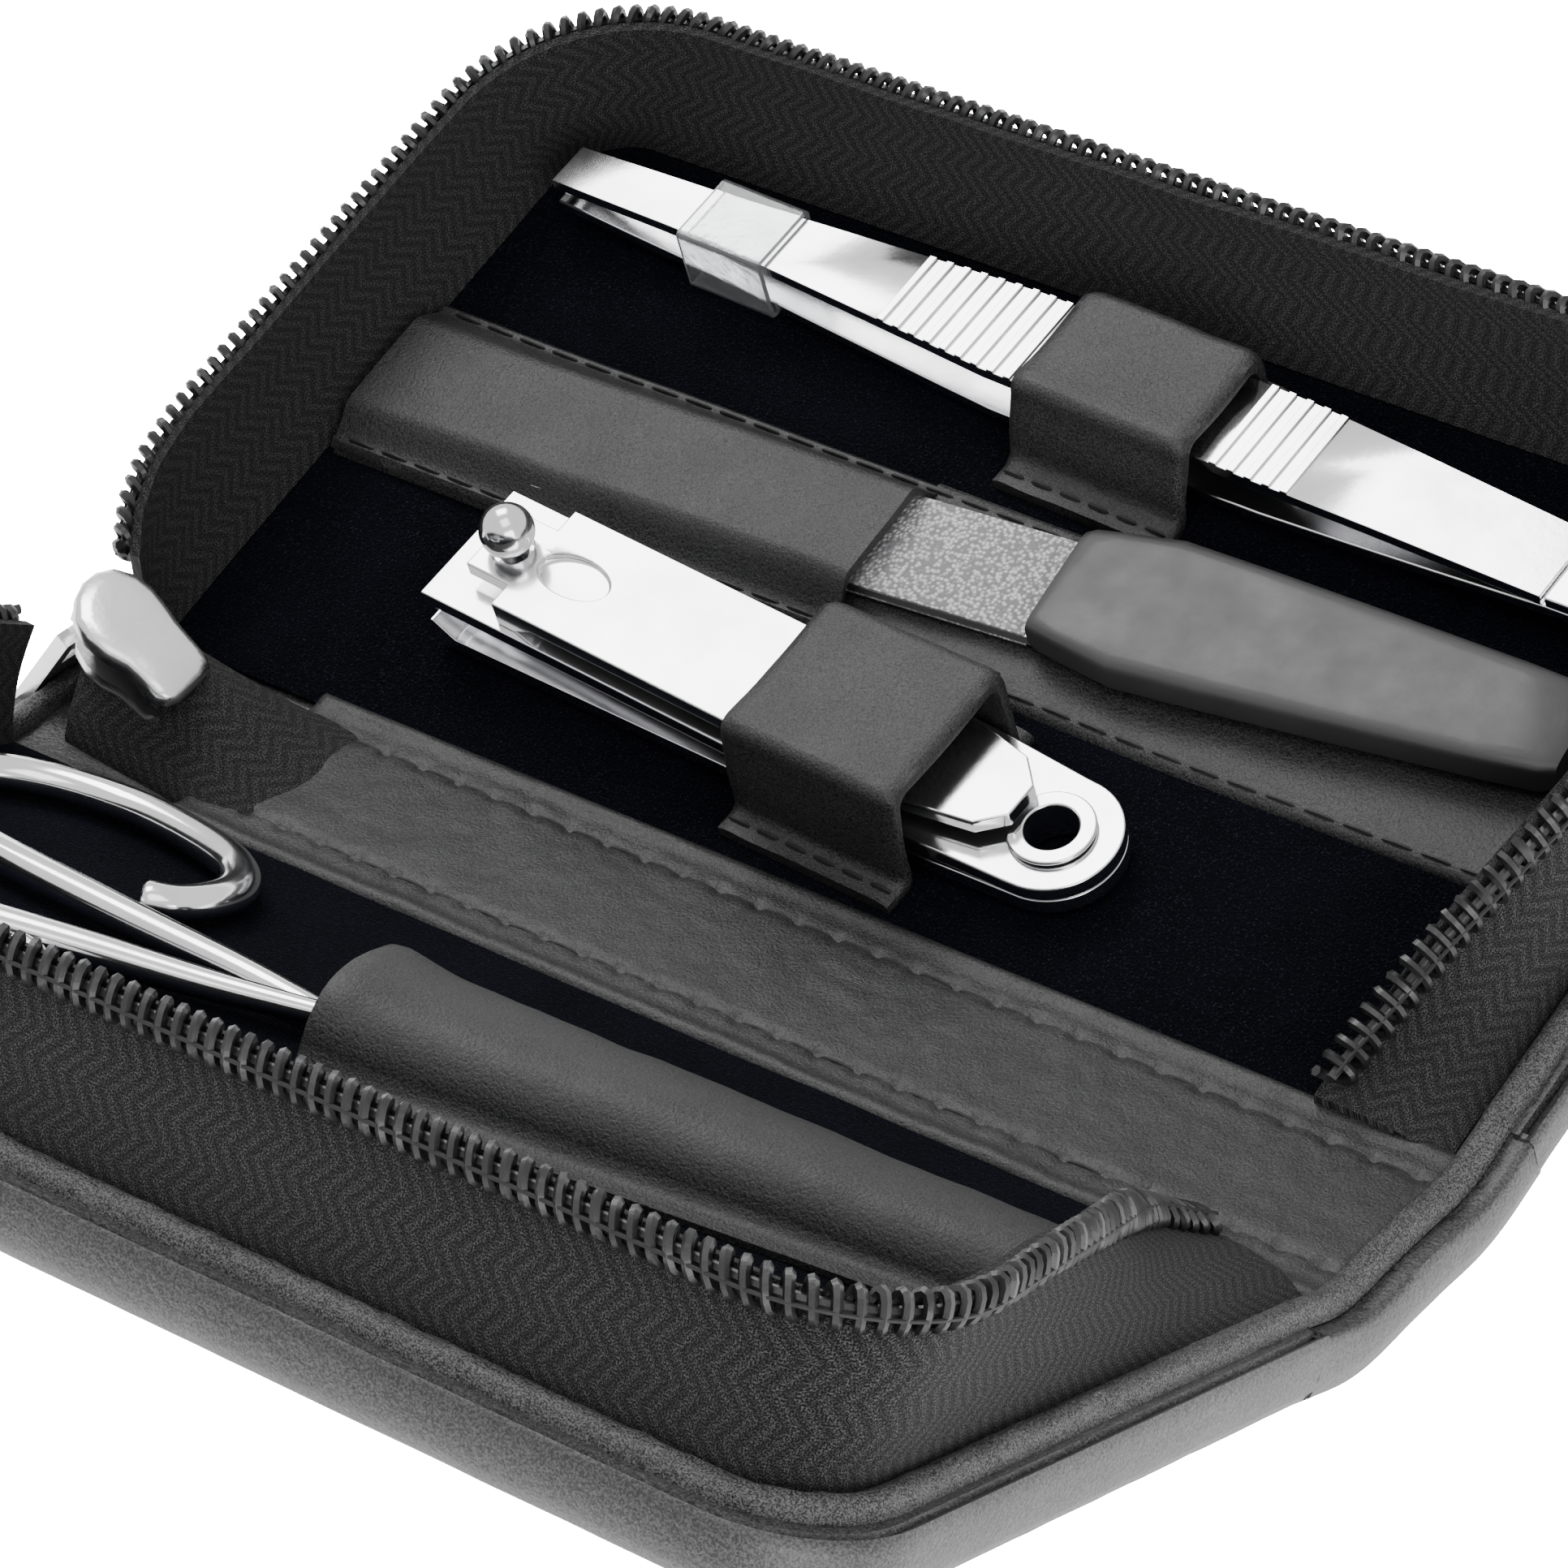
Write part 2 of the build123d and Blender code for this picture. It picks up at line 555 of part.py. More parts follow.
def pocket_front():
    """Raised front of the file pocket, and the margins that run on past it."""
    z0 = FLOOR + POCKET_LEATHER
    z1 = z0 + POCKET_LEATHER
    z2 = z0 + POCKET_ROOM
    z3 = z2 + POCKET_LEATHER
    low = POCKET_MIN
    high = POCKET_MAX
    hem = POCKET_HEM
    run = POCKET_RUN
    x0 = -SEAM_HALF + TAPE + POCKET_END_GAP
    outer = [(low, z0), (low, z1), (low + hem, z1), (low + hem + run, z3),
             (high - hem - run, z3), (high - hem, z1), (high, z1), (high, z0)]
    inner = [(low + hem, z0), (low + hem + run, z2), (high - hem - run, z2), (high - hem, z0)]
    front = along_x(outer, x0, POCKET_MOUTH) - along_x(inner, x0 - 1, POCKET_MOUTH + 1)
    for v in (low, high - hem):
        front += block(POCKET_MOUTH - 1, POCKET_EAR, v, v + hem, z0, z1)
    return front


def pocket_stitches():
    z0 = FLOOR + POCKET_LEATHER
    end = SEAM_HALF - TAPE - POCKET_END_GAP
    rows = []
    for v in (POCKET_MIN + POCKET_HEM / 2, POCKET_MAX - POCKET_HEM / 2):
        rows += stitches(-end, POCKET_EAR, v, z0 + POCKET_LEATHER)
        rows += stitches(POCKET_EAR, end, v, z0)
    return group(rows)


def strap(low, high, height, run, foot):
    """Loop over a tool that spans low..high across and reaches height.

    Its front face runs out by run, and foot is the width of its back foot.
    """
    t = STRAP_LEATHER
    a = low - STRAP_CLEAR
    b = high + STRAP_CLEAR
    h = height + STRAP_CLEAR
    foot_a = a - run
    half = STRAP_LENGTH / 2
    outer = [(foot_a - t, 0), (a - t, h + t), (b + t, h + t), (b + t, 0)]
    inner = [(foot_a, 0), (a, h), (b, h), (b, 0)]
    loop = along_x(outer, -half, half)
    crown = [e for e in loop.edges() if e.center().Z > h + t - 0.01 and e.length > STRAP_LENGTH - 1]
    loop = fillet([e for e in crown if abs(e.length - STRAP_LENGTH) < 0.01], STRAP_ROUND)
    loop -= along_x(inner, -half - 1, half + 1)
    loop += block(-half, half, foot_a - t - STRAP_FOOT, foot_a - t + 0.4, 0, t)
    return loop + block(-half, half, b + t - 0.4, b + t + foot, 0, t)


def strap_rows(low, high, run, foot):
    half = STRAP_LENGTH / 2
    front = low - STRAP_CLEAR - run - STRAP_LEATHER - STRAP_FOOT / 2
    back = high + STRAP_CLEAR + STRAP_LEATHER + foot / 2
    rows = stitches(-half, half, front, STRAP_LEATHER) + stitches(-half, half, back, STRAP_LEATHER)
    return group(rows)


def sheath_section(x, width, height, wall):
    """Arched section of the sheath, open to the lining."""
    half = width / 2 - wall
    top = height - wall
    shoulder = top * 0.55
    edges = [
        Line((-half, 0), (half, 0)),
        Line((half, 0), (half, shoulder)),
        ThreePointArc((half, shoulder), (0, top), (-half, shoulder)),
        Line((-half, shoulder), (-half, 0)),
    ]
    return Plane((x, 0, 0), x_dir=(0, 1, 0), z_dir=(1, 0, 0)) * make_face(edges)


def sheath():
    x0 = -SHEATH_BEHIND
    x1 = BLADE_LENGTH + SHEATH_BEYOND
    sections = []
    for wall in (0.0, SHEATH_LEATHER):
        mouth = sheath_section(x0, SHEATH_MOUTH_WIDTH, SHEATH_MOUTH_HEIGHT, wall)
        end = sheath_section(x1, SHEATH_END_WIDTH, SHEATH_END_HEIGHT, wall)
        sections.append(loft([mouth, end], ruled=True))
    tube = sections[0] - sections[1]
    a = SHEATH_MOUTH_WIDTH / 2
    b = SHEATH_END_WIDTH / 2
    for side in (-1, 1):
        inner = SHEATH_LEATHER / 2
        feet = polygon((x0, side * (a - inner)), (x1, side * (b - inner)),
                       (x1, side * (b + SHEATH_FOOT)), (x0, side * (a + SHEATH_FOOT)))
        tube += plate(feet, 0, SHEATH_LEATHER)
    return tube


# ---------------------------------------------------------------- tweezers
def tweezer_place(shape):
    return Pos(TWEEZER_TIP_X, TWEEZER_TIP_V, FLOOR) * Rot(Z=TWEEZER_TURN) * shape


TWEEZER_MID = TWEEZER_SEAT + TWEEZER_STEEL + TWEEZER_BOW / 2
ARM_END = TWEEZER_LENGTH - TWEEZER_WELD


def tweezer_outline(x0, x1):
    """Plan of an arm, cut to x0..x1 from the tip."""
    stations = [(0, TWEEZER_TIP_WIDTH), (TWEEZER_NECK_AT, TWEEZER_NECK_WIDTH),
                (TWEEZER_GRIP_AT, TWEEZER_GRIP_WIDTH), (TWEEZER_GRIP_END, TWEEZER_GRIP_WIDTH),
                (TWEEZER_LENGTH, TWEEZER_TAIL_WIDTH)]
    upper = [(x, w / 2) for x, w in stations]
    lower = [(x, -w / 2) for x, w in reversed(stations)]
    whole = plate(polygon(*(upper + lower)), -5, 15)
    return whole & block(x0, x1, -10, 10, -5, 15)


def arm_bow(side, steel):
    """Bowed strip in side view: side 1 is the upper arm, -1 the lower."""
    def edge(offset):
        tip = TWEEZER_MID + side * (TWEEZER_TIP_GAP / 2 + offset)
        middle = TWEEZER_MID + side * (TWEEZER_BOW / 2 + offset)
        tail = TWEEZER_MID + side * offset
        return ThreePointArc((0, tip), (ARM_END / 2, middle), (ARM_END, tail))

    inner = edge(0)
    outer = edge(steel)
    ends = [Line(inner @ 0, outer @ 0), Line(inner @ 1, outer @ 1)]
    side_view = Plane((0, 6, 0), x_dir=(1, 0, 0), z_dir=(0, -1, 0)) * make_face([inner, outer] + ends)
    return extrude(side_view, 12)


def grip_ribs():
    """Fine ribs across the arm, on both sides of the strap."""
    comb = []
    strap_at = STRAP_X - TWEEZER_TIP_X
    first = strap_at - STRAP_LENGTH / 2 - RIBS_FRONT * RIB_PITCH
    for i in range(RIBS_FRONT):
        comb.append(first + i * RIB_PITCH)
    first = strap_at + STRAP_LENGTH / 2 + RIB_PITCH
    for i in range(RIBS_REAR):
        comb.append(first + i * RIB_PITCH)
    return [block(x, x + RIB_WIDTH, -10, 10, -5, 15) for x in comb]


def upper_arm():
    plan = tweezer_outline(0, ARM_END - ARM_SPLIT)
    arm = arm_bow(1, TWEEZER_STEEL) & plan
    raised = arm_bow(1, TWEEZER_STEEL + RIB_HEIGHT) & plan
    for bar in grip_ribs():
        arm += raised & bar
    return arm


def lower_arm():
    bow = arm_bow(-1, TWEEZER_STEEL) & tweezer_outline(0, ARM_END)
    tail = block(ARM_END - 0.01, TWEEZER_LENGTH, -5, 5, TWEEZER_MID - TWEEZER_STEEL, TWEEZER_MID)
    return bow + (tail & tweezer_outline(0, TWEEZER_LENGTH))


def arm_weld():
    """Welded end of the upper arm, on the lower arm's tail."""
    tail = block(ARM_END, TWEEZER_LENGTH, -5, 5, TWEEZER_MID, TWEEZER_MID + TWEEZER_STEEL)
    return tail & tweezer_outline(0, TWEEZER_LENGTH)


def arm_gap(x):
    """Gap between the arms at x: the bow's parabola through tip, middle, tail."""
    s = x / ARM_END
    tip = TWEEZER_TIP_GAP * (1 - s) * (1 - 2 * s)
    return tip + 4 * TWEEZER_BOW * s * (1 - s)


def sleeve():
    """Clear sleeve that holds the arms together near the tips."""
    end = SLEEVE_AT + SLEEVE_LENGTH
    wide = TWEEZER_NECK_WIDTH
    if end > TWEEZER_NECK_AT:
        share = (end - TWEEZER_NECK_AT) / (TWEEZER_GRIP_AT - TWEEZER_NECK_AT)
        wide += share * (TWEEZER_GRIP_WIDTH - TWEEZER_NECK_WIDTH)
    wide += 2 * SLEEVE_CLEAR
    tall = arm_gap(end) + 2 * TWEEZER_STEEL + 2 * SLEEVE_CLEAR
    centre = Pos(SLEEVE_AT + SLEEVE_LENGTH / 2, 0, TWEEZER_MID)
    outer = Box(SLEEVE_LENGTH, wide + 2 * SLEEVE_WALL, tall + 2 * SLEEVE_WALL)
    outer = fillet(outer.edges().filter_by(Axis.X), SLEEVE_WALL + SLEEVE_CLEAR)
    return centre * (outer - Box(SLEEVE_LENGTH + 2, wide, tall))


# ---------------------------------------------------------------- clipper
CLIPPER_Z = SEAT + EYELET_LIP


def clipper_place(shape):
    return Pos(CLIPPER_NOSE_X, CLIPPER_NOSE_V, FLOOR + CLIPPER_Z) * Rot(Z=CLIPPER_TURN) * shape


def clipper_plan(width, x0, x1):
    """Plan of a jaw: square nose, round tail about the eyelet."""
    face = Pos((x0 + EYELET_AT) / 2, 0) * Rectangle(EYELET_AT - x0, width)
    tail = CLIPPER_LENGTH - EYELET_AT
    start = EYELET_AT - TAIL_TAPER
    taper = polygon((start, -width / 2), (EYELET_AT, -tail), (EYELET_AT, tail),
                    (start, width / 2))
    face -= Pos(EYELET_AT - TAIL_TAPER / 2, 0) * Rectangle(TAIL_TAPER, width + 1)
    face += taper
    face += Pos(EYELET_AT, 0) * Circle(tail)
    return plate(face, -2, 14) & block(x0, x1, -10, 10, -2, 14)


def eyelet_hole(radius):
    return Pos(EYELET_AT, 0, 5) * Cylinder(radius, 30)


def lower_jaw():
    side = across_y([(0, 0), (CLIPPER_LENGTH, 0), (CLIPPER_LENGTH, JAW_STEEL),
                     (NOSE_STEEL + 0.8, JAW_STEEL), (0.25, LOWER_EDGE), (0, LOWER_EDGE)],
                    CLIPPER_WIDTH)
    jaw = side & clipper_plan(CLIPPER_WIDTH, 0, CLIPPER_LENGTH)
    jaw -= eyelet_hole(EYELET_BORE + EYELET_WALL)
    return jaw - Pos(PIN_AT, 0, 0) * Cylinder(PIN_RADIUS, 10)


def jaw_under(x):
    """Underside of the upper jaw over the lower jaw's underside."""
    slope = JAW_RISE / JAW_FLAT
    return JAW_STEEL + JAW_SEAT + max(0.0, JAW_FLAT - x) * slope


def upper_jaw():
    edge = LOWER_EDGE + JAW_GAP
    end = CLIPPER_LENGTH
    top = jaw_under(0) + JAW_STEEL
    side = across_y([(0, edge), (0.25, edge), (NOSE_STEEL, jaw_under(NOSE_STEEL)),
                     (JAW_FLAT, jaw_under(JAW_FLAT)), (end, jaw_under(end)),
                     (end, jaw_under(end) + JAW_STEEL), (JAW_FLAT, jaw_under(JAW_FLAT) + JAW_STEEL),
                     (0, top)], CLIPPER_WIDTH)
    jaw = side & clipper_plan(CLIPPER_WIDTH, 0, CLIPPER_LENGTH)
    jaw -= eyelet_hole(EYELET_BORE + EYELET_WALL + EYELET_CLEAR)
    return jaw - Pos(PIN_AT, 0, 0) * Cylinder(PIN_HOLE, 20)


def lever_under(x):
    return jaw_under(x) + JAW_STEEL + LEVER_LIFT


def lever():
    """Lever folded flat: neck under the pin's head, bent foot, dimple."""
    foot = LEVER_SHOULDER
    side = across_y([(LEVER_NECK_START, lever_under(LEVER_NECK_START)),
                     (foot, lever_under(foot)), (foot, lever_under(foot) - LEVER_LIFT),
                     (foot + LEVER_FOOT, lever_under(foot + LEVER_FOOT) - LEVER_LIFT + 0.01),
                     (foot + 2 * LEVER_FOOT, lever_under(foot + 2 * LEVER_FOOT)),
                     (LEVER_END, lever_under(LEVER_END)),
                     (LEVER_END, lever_under(LEVER_END) + LEVER_STEEL),
                     (LEVER_NECK_START, lever_under(LEVER_NECK_START) + LEVER_STEEL)],
                    LEVER_WIDTH + 2)
    half = LEVER_WIDTH / 2
    neck = LEVER_NECK / 2
    tail = LEVER_TAIL_WIDTH / 2
    taper = LEVER_END - LEVER_TAPER
    round_x = LEVER_END - LEVER_TAIL_ROUND
    round_y = tail - LEVER_TAIL_ROUND
    plan = polygon((LEVER_NECK_START, -neck), (LEVER_SHOULDER, -neck), (LEVER_SHOULDER, -half),
                   (taper, -half), (round_x, -tail), (LEVER_END, -round_y),
                   (LEVER_END, round_y), (round_x, tail), (taper, half),
                   (LEVER_SHOULDER, half), (LEVER_SHOULDER, neck), (LEVER_NECK_START, neck))
    body = side & plate(plan, -2, 14)
    body -= Pos(PIN_AT, 0, 0) * Cylinder(PIN_HOLE, 30)
    dimple = Pos(DIMPLE_AT, 0) * Ellipse(DIMPLE_LENGTH / 2, DIMPLE_WIDTH / 2)
    bottom = lever_under(DIMPLE_AT) + LEVER_STEEL - DIMPLE_DEPTH
    return body - plate(dimple, bottom, bottom + 5)


def clipper_pin():
    """Pin through both jaws, with the ball head that holds the lever."""
    head_z = lever_under(LEVER_NECK_START) + LEVER_STEEL + PIN_HEAD * 0.8
    pin = Pos(PIN_AT, 0, head_z / 2) * Cylinder(PIN_RADIUS, head_z)
    head = Pos(PIN_AT, 0, head_z) * Sphere(PIN_HEAD)
    floor_cut = lever_under(LEVER_NECK_START) + LEVER_STEEL + 0.05
    head &= block(0, 10, -5, 5, floor_cut, 20)
    return pin + head


def eyelet():
    """Rolled tubular rivet: its bore takes a key ring."""
    top = jaw_under(EYELET_AT - EYELET_FLANGE) + JAW_STEEL + EYELET_CLEAR
    tube = Pos(EYELET_AT, 0, top / 2) * Cylinder(EYELET_BORE + EYELET_WALL, top)
    low = Pos(EYELET_AT, 0, -EYELET_LIP / 2) * Cylinder(EYELET_FLANGE, EYELET_LIP)
    high = Pos(EYELET_AT, 0, top + EYELET_LIP / 2) * Cylinder(EYELET_FLANGE, EYELET_LIP)
    return tube + low + high - eyelet_hole(EYELET_BORE)


# ---------------------------------------------------------------- nail file
def file_place(shape):
    z = FLOOR + POCKET_LEATHER + SEAT
    return Pos(FILE_TIP_X, FILE_TIP_V, z) * Rot(Z=FILE_TURN) * shape


def blade_face(x0, length):
    half = FILE_BLADE_WIDTH / 2
    nose = 3.0
    return polygon((x0 + nose, -half), (length, -half), (length, half), (x0 + nose, half),
                   (x0, half - nose), (x0, -half + nose))


def file_blade():
    return plate(blade_face(0, FILE_BLADE_LENGTH), GRIT, GRIT + FILE_STEEL)


def file_grit():
    """Grit bonded to both faces of the blade."""
    top = GRIT + FILE_STEEL
    face = blade_face(0, GRIT_LENGTH)
    return group([plate(face, 0, GRIT), plate(face, top, top + GRIT)])


def file_handle():
    x0 = HANDLE_START
    bulge = x0 + HANDLE_BULGE_AT
    end = x0 + HANDLE_LENGTH
    face = polygon((x0, -HANDLE_NECK / 2), (x0 + 2.5, -HANDLE_NECK / 2 - 0.4),
                   (bulge, -HANDLE_BULGE / 2), (end - 1, -HANDLE_END / 2), (end, -HANDLE_END / 2 + 1),
                   (end, HANDLE_END / 2 - 1), (end - 1, HANDLE_END / 2), (bulge, HANDLE_BULGE / 2),
                   (x0 + 2.5, HANDLE_NECK / 2 + 0.4), (x0, HANDLE_NECK / 2))
    grip = plate(face, 0, HANDLE_THICK)
    rim = [e for e in grip.edges() if e.center().Z > HANDLE_THICK - 0.01 or e.center().Z < 0.01]
    return fillet(rim, HANDLE_ROUND) - file_blade()


# ---------------------------------------------------------------- scissors
def scissor_place(shape):
    return Pos(PIVOT_X, PIVOT_V, FLOOR + SEAT) * Rot(Z=SCISSOR_TURN) * shape


HALVES_TOP = 2 * BLADE_STEEL + BLADE_CLEAR


def scissor_half(side):
    """One half: side -1 is the lower one, with the bow nearer the spine."""
    z0 = 0 if side < 0 else BLADE_STEEL + BLADE_CLEAR
    z1 = z0 + BLADE_STEEL
    half = BLADE_WIDTH / 2
    blade = polygon((-2, -half), (6, -half), (BLADE_LENGTH, -BLADE_TIP / 2),
                    (BLADE_LENGTH, BLADE_TIP / 2), (6, half), (-2, half))
    bend = SHANK_SPREAD * side
    aside = BOW_ASIDE * side
    inner = aside - side * (BOW_SHORT - BOW_RIM / 2)
    w = SHANK_WIDTH / 2
    shank = polygon((2, -w), (-SHANK_BEND, bend - w), (-BOW_BEHIND, inner - BOW_RIM / 2),
                    (-BOW_BEHIND, inner + BOW_RIM / 2), (-SHANK_BEND, bend + w), (2, w))
    flat = plate(blade, z0, z1) + plate(shank, z0, z1)
    bow = Pos(-BOW_BEHIND, aside) * Ellipse(BOW_LONG, BOW_SHORT)
    hole = Pos(-BOW_BEHIND, aside) * Ellipse(BOW_LONG - BOW_RIM, BOW_SHORT - BOW_RIM)
    whole = flat + plate(bow, 0, HALVES_TOP)
    whole -= plate(hole, -1, HALVES_TOP + 1)
    bore = SCREW_RADIUS if side < 0 else SCREW_RADIUS + PIVOT_CLEAR
    return whole - Cylinder(bore, 20)


def scissor_screw():
    top = HALVES_TOP + PIVOT_CLEAR
    shaft = Pos(0, 0, top / 2) * Cylinder(SCREW_RADIUS, top)
    head = Pos(0, 0, top + SCREW_HEAD_HEIGHT / 2) * Cylinder(SCREW_HEAD, SCREW_HEAD_HEIGHT)
    slot = block(-SCREW_HEAD, SCREW_HEAD, -0.3, 0.3, top + SCREW_HEAD_HEIGHT / 2, top + 3)
    return shaft + head - slot


# ---------------------------------------------------------------- build
for name, place in (("far", place_far), ("near", place_near)):
    save(name + "_cover_leather", place(cover()))
    save(name + "_padding", place(padding()))
    save(name + "_board", place(board()))
    save(name + "_velvet_lining", place(lining()))
    save(name + "_edge_binding", place(binding()))
    save(name + "_zip_tape", place(tape()))
    save(name + "_zip_coil", place(coil()))

save("spine_cover_leather", place_spine(spine_plate(SPINE_END_INSET, SPINE_LOW, SPINE_MID_LOW)))
save("spine_board", place_spine(spine_plate(SPINE_BOARD_INSET, SPINE_MID_LOW, SPINE_MID_HIGH)))
save("spine_inner_strip", place_spine(spine_plate(STRIP_INSET, SPINE_MID_HIGH, FLOOR)))
save("spine_stitches", place_spine(spine_stitches()))
save("zip_tail", place_spine(zip_tail()))
save("zip_slider", place_spine(slider_place(slider())))
save("zip_pull", place_spine(slider_place(pull())))

save("pocket_base", place_far(pocket_base()))
save("pocket_front", place_far(pocket_front()))
save("pocket_stitches", place_far(pocket_stitches()))


def strap_place(axis_v, turn):
    """A strap sits square over its tool, at the same X for both tools."""
    return Pos(STRAP_X, axis_v - ORIGIN_V, FLOOR) * Rot(Z=turn)


tweezer_top = TWEEZER_MID + TWEEZER_BOW / 2 + TWEEZER_STEEL + RIB_HEIGHT
at_tweezers = strap_place(TWEEZER_STRAP_V, TWEEZER_TURN)
save("tweezer_strap", at_tweezers * strap(-tweezer_side, tweezer_side, tweezer_top,
                                          TWEEZER_STRAP_RUN, TWEEZER_STRAP_FOOT))
save("tweezer_strap_stitches", at_tweezers * strap_rows(-tweezer_side, tweezer_side,
                                                        TWEEZER_STRAP_RUN, TWEEZER_STRAP_FOOT))

clipper_top = CLIPPER_Z + lever_under(LEVER_SHOULDER + 2 * LEVER_FOOT) + LEVER_STEEL
at_clipper = strap_place(CLIPPER_STRAP_V, CLIPPER_TURN)
save("clipper_strap", at_clipper * strap(-clipper_side, clipper_side, clipper_top,
                                         CLIPPER_STRAP_RUN, CLIPPER_STRAP_FOOT))
save("clipper_strap_stitches", at_clipper * strap_rows(-clipper_side, clipper_side,
                                                       CLIPPER_STRAP_RUN, CLIPPER_STRAP_FOOT))

for name, piece in (("tweezer_lower_arm", lower_arm()), ("tweezer_upper_arm", upper_arm()),
                    ("tweezer_arm_weld", arm_weld()), ("tweezer_sleeve", sleeve())):
    save(name, place_far(tweezer_place(piece)))

for name, piece in (("clipper_lower_jaw", lower_jaw()), ("clipper_upper_jaw", upper_jaw()),
                    ("clipper_lever", lever()), ("clipper_pin", clipper_pin()),
                    ("clipper_eyelet", eyelet())):
    save(name, place_far(clipper_place(piece)))

for name, piece in (("file_blade", file_blade()), ("file_grit", file_grit()),
                    ("file_handle", file_handle())):
    save(name, place_far(file_place(piece)))

save("scissor_sheath", place_near(Pos(0, 0, -SEAT) * scissor_place(sheath())))
for name, piece in (("scissor_lower_half", scissor_half(-1)),
                    ("scissor_upper_half", scissor_half(1)), ("scissor_screw", scissor_screw())):
    save(name, place_near(scissor_place(piece)))

print("clipper v %.3f, file v %.3f, tweezers v %.3f, scissors %.3f %.3f, blade %.2f" % (
    CLIPPER_NOSE_V, FILE_TIP_V, TWEEZER_TIP_V, PIVOT_X, PIVOT_V, BLADE_LENGTH))
print("closed fold %.2f deg, rim at spine %.2f, at far edge %.2f" % (
    CLOSED_FOLD, rim_z(RIM_FULL) - FLOOR, rim_z(SEAM_DEPTH) - FLOOR))
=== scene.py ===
import json
import logging
import math
from dataclasses import dataclass, field
from enum import Enum
from typing import Callable, Iterable, Sequence

import bmesh
import bpy
from mathutils import Matrix, Vector, noise

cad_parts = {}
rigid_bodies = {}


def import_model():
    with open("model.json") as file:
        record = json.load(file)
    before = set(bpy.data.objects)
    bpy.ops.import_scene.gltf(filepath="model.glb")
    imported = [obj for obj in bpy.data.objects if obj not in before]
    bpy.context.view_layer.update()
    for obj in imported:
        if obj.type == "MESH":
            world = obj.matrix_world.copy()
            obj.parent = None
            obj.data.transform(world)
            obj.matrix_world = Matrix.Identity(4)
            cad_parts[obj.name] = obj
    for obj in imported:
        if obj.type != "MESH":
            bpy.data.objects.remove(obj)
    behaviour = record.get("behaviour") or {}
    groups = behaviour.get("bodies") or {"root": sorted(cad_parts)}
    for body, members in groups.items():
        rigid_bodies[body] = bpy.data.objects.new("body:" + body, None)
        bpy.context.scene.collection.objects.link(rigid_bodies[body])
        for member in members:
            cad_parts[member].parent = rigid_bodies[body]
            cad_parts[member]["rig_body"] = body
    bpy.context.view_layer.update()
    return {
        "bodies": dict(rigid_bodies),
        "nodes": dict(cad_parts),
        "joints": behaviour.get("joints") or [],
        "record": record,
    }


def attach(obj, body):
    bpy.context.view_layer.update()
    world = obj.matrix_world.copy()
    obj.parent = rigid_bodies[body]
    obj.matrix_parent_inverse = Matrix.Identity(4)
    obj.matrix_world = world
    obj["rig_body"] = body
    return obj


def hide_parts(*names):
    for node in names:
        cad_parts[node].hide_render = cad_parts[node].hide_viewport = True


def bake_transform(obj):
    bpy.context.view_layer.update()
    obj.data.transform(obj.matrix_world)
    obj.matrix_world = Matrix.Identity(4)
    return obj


"""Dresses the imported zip-around manicure case: leather, velvet, zip, stitching and polished tools.

All builders work in millimetres in the coordinates of one tray or tool, and a Seat carries
the finished mesh to its place in the case, in metres.
"""

LOG = logging.getLogger("manicure_case")
MM = 0.001

Point2 = tuple[float, float]
Section = list[Vector]


# ----------------------------------------------------------------------------- sizes
@dataclass(frozen=True)
class CaseSizes:
    """Sizes of the case that more than one sub-assembly uses, in millimetres."""

    half_length: float = 57.5
    tray_depth: float = 60.5
    spine_width: float = 15.0
    rest_fold: float = 19.2
    axis_z: float = 4.5
    floor_z: float = 5.5
    seam_half: float = 53.5
    seam_depth: float = 56.5
    seam_corner: float = 6.0
    cover_corner: float = 9.0
    tape: float = 0.9
    soft_fold: float = 5.5


CASE = CaseSizes()
# Section of the binding over the seam: distance out from the seam, and height.
BAND_SHAPE = ((0.25, 5.0), (0.2, 5.8), (0.55, 6.3), (1.1, 6.45), (1.7, 6.25), (2.1, 5.8),
              (2.2, 5.05))


class Place(Enum):
    """The three leaves of the case."""

    FAR = "far"
    SPINE = "spine"
    NEAR = "near"


@dataclass(frozen=True)
class Seat:
    """Where a piece is drawn, and the body that it rides on."""

    matrix: Matrix
    body: str

    def turned(self, x: float, v: float, z: float, turn: float, body: str) -> "Seat":
        """Seat of something that lies in this one, turned about its upright axis.

        Args:
            x: Position along the spine.
            v: Distance from the fold axis.
            z: Height over the tray's underside.
            turn: Angle in degrees.
            body: The body that the thing rides on.

        Returns:
            The new seat.
        """
        local = Matrix.Translation((x, v, z)) @ Matrix.Rotation(math.radians(turn), 4, "Z")
        return Seat(self.matrix @ local, body)


def leaf_matrix(place: Place) -> Matrix:
    """Matrix of one leaf, from its own millimetres to the row frame's.

    Args:
        place: The leaf.

    Returns:
        The matrix, still in millimetres.
    """
    far = Matrix.Translation((0, -CASE.tray_depth / 2, 0))
    lift = Matrix.Translation((0, 0, CASE.axis_z))
    fold = lift @ Matrix.Rotation(math.radians(-CASE.rest_fold), 4, "X") @ lift.inverted()
    if place is Place.FAR:
        return far
    spine = far @ fold
    if place is Place.SPINE:
        return spine
    step = Matrix.Translation((0, -CASE.spine_width, 0))
    return spine @ step @ fold @ Matrix.Scale(-1, 4, (0, 1, 0))


SEATS = {
    Place.FAR: Seat(leaf_matrix(Place.FAR), "far_tray"),
    Place.SPINE: Seat(leaf_matrix(Place.SPINE), "spine"),
    Place.NEAR: Seat(leaf_matrix(Place.NEAR), "near_tray"),
}


# ----------------------------------------------------------------------------- mesh tools
def ease(t: float) -> float:
    """Smooth step from 0 to 1."""
    t = min(max(t, 0.0), 1.0)
    return t * t * (3 - 2 * t)


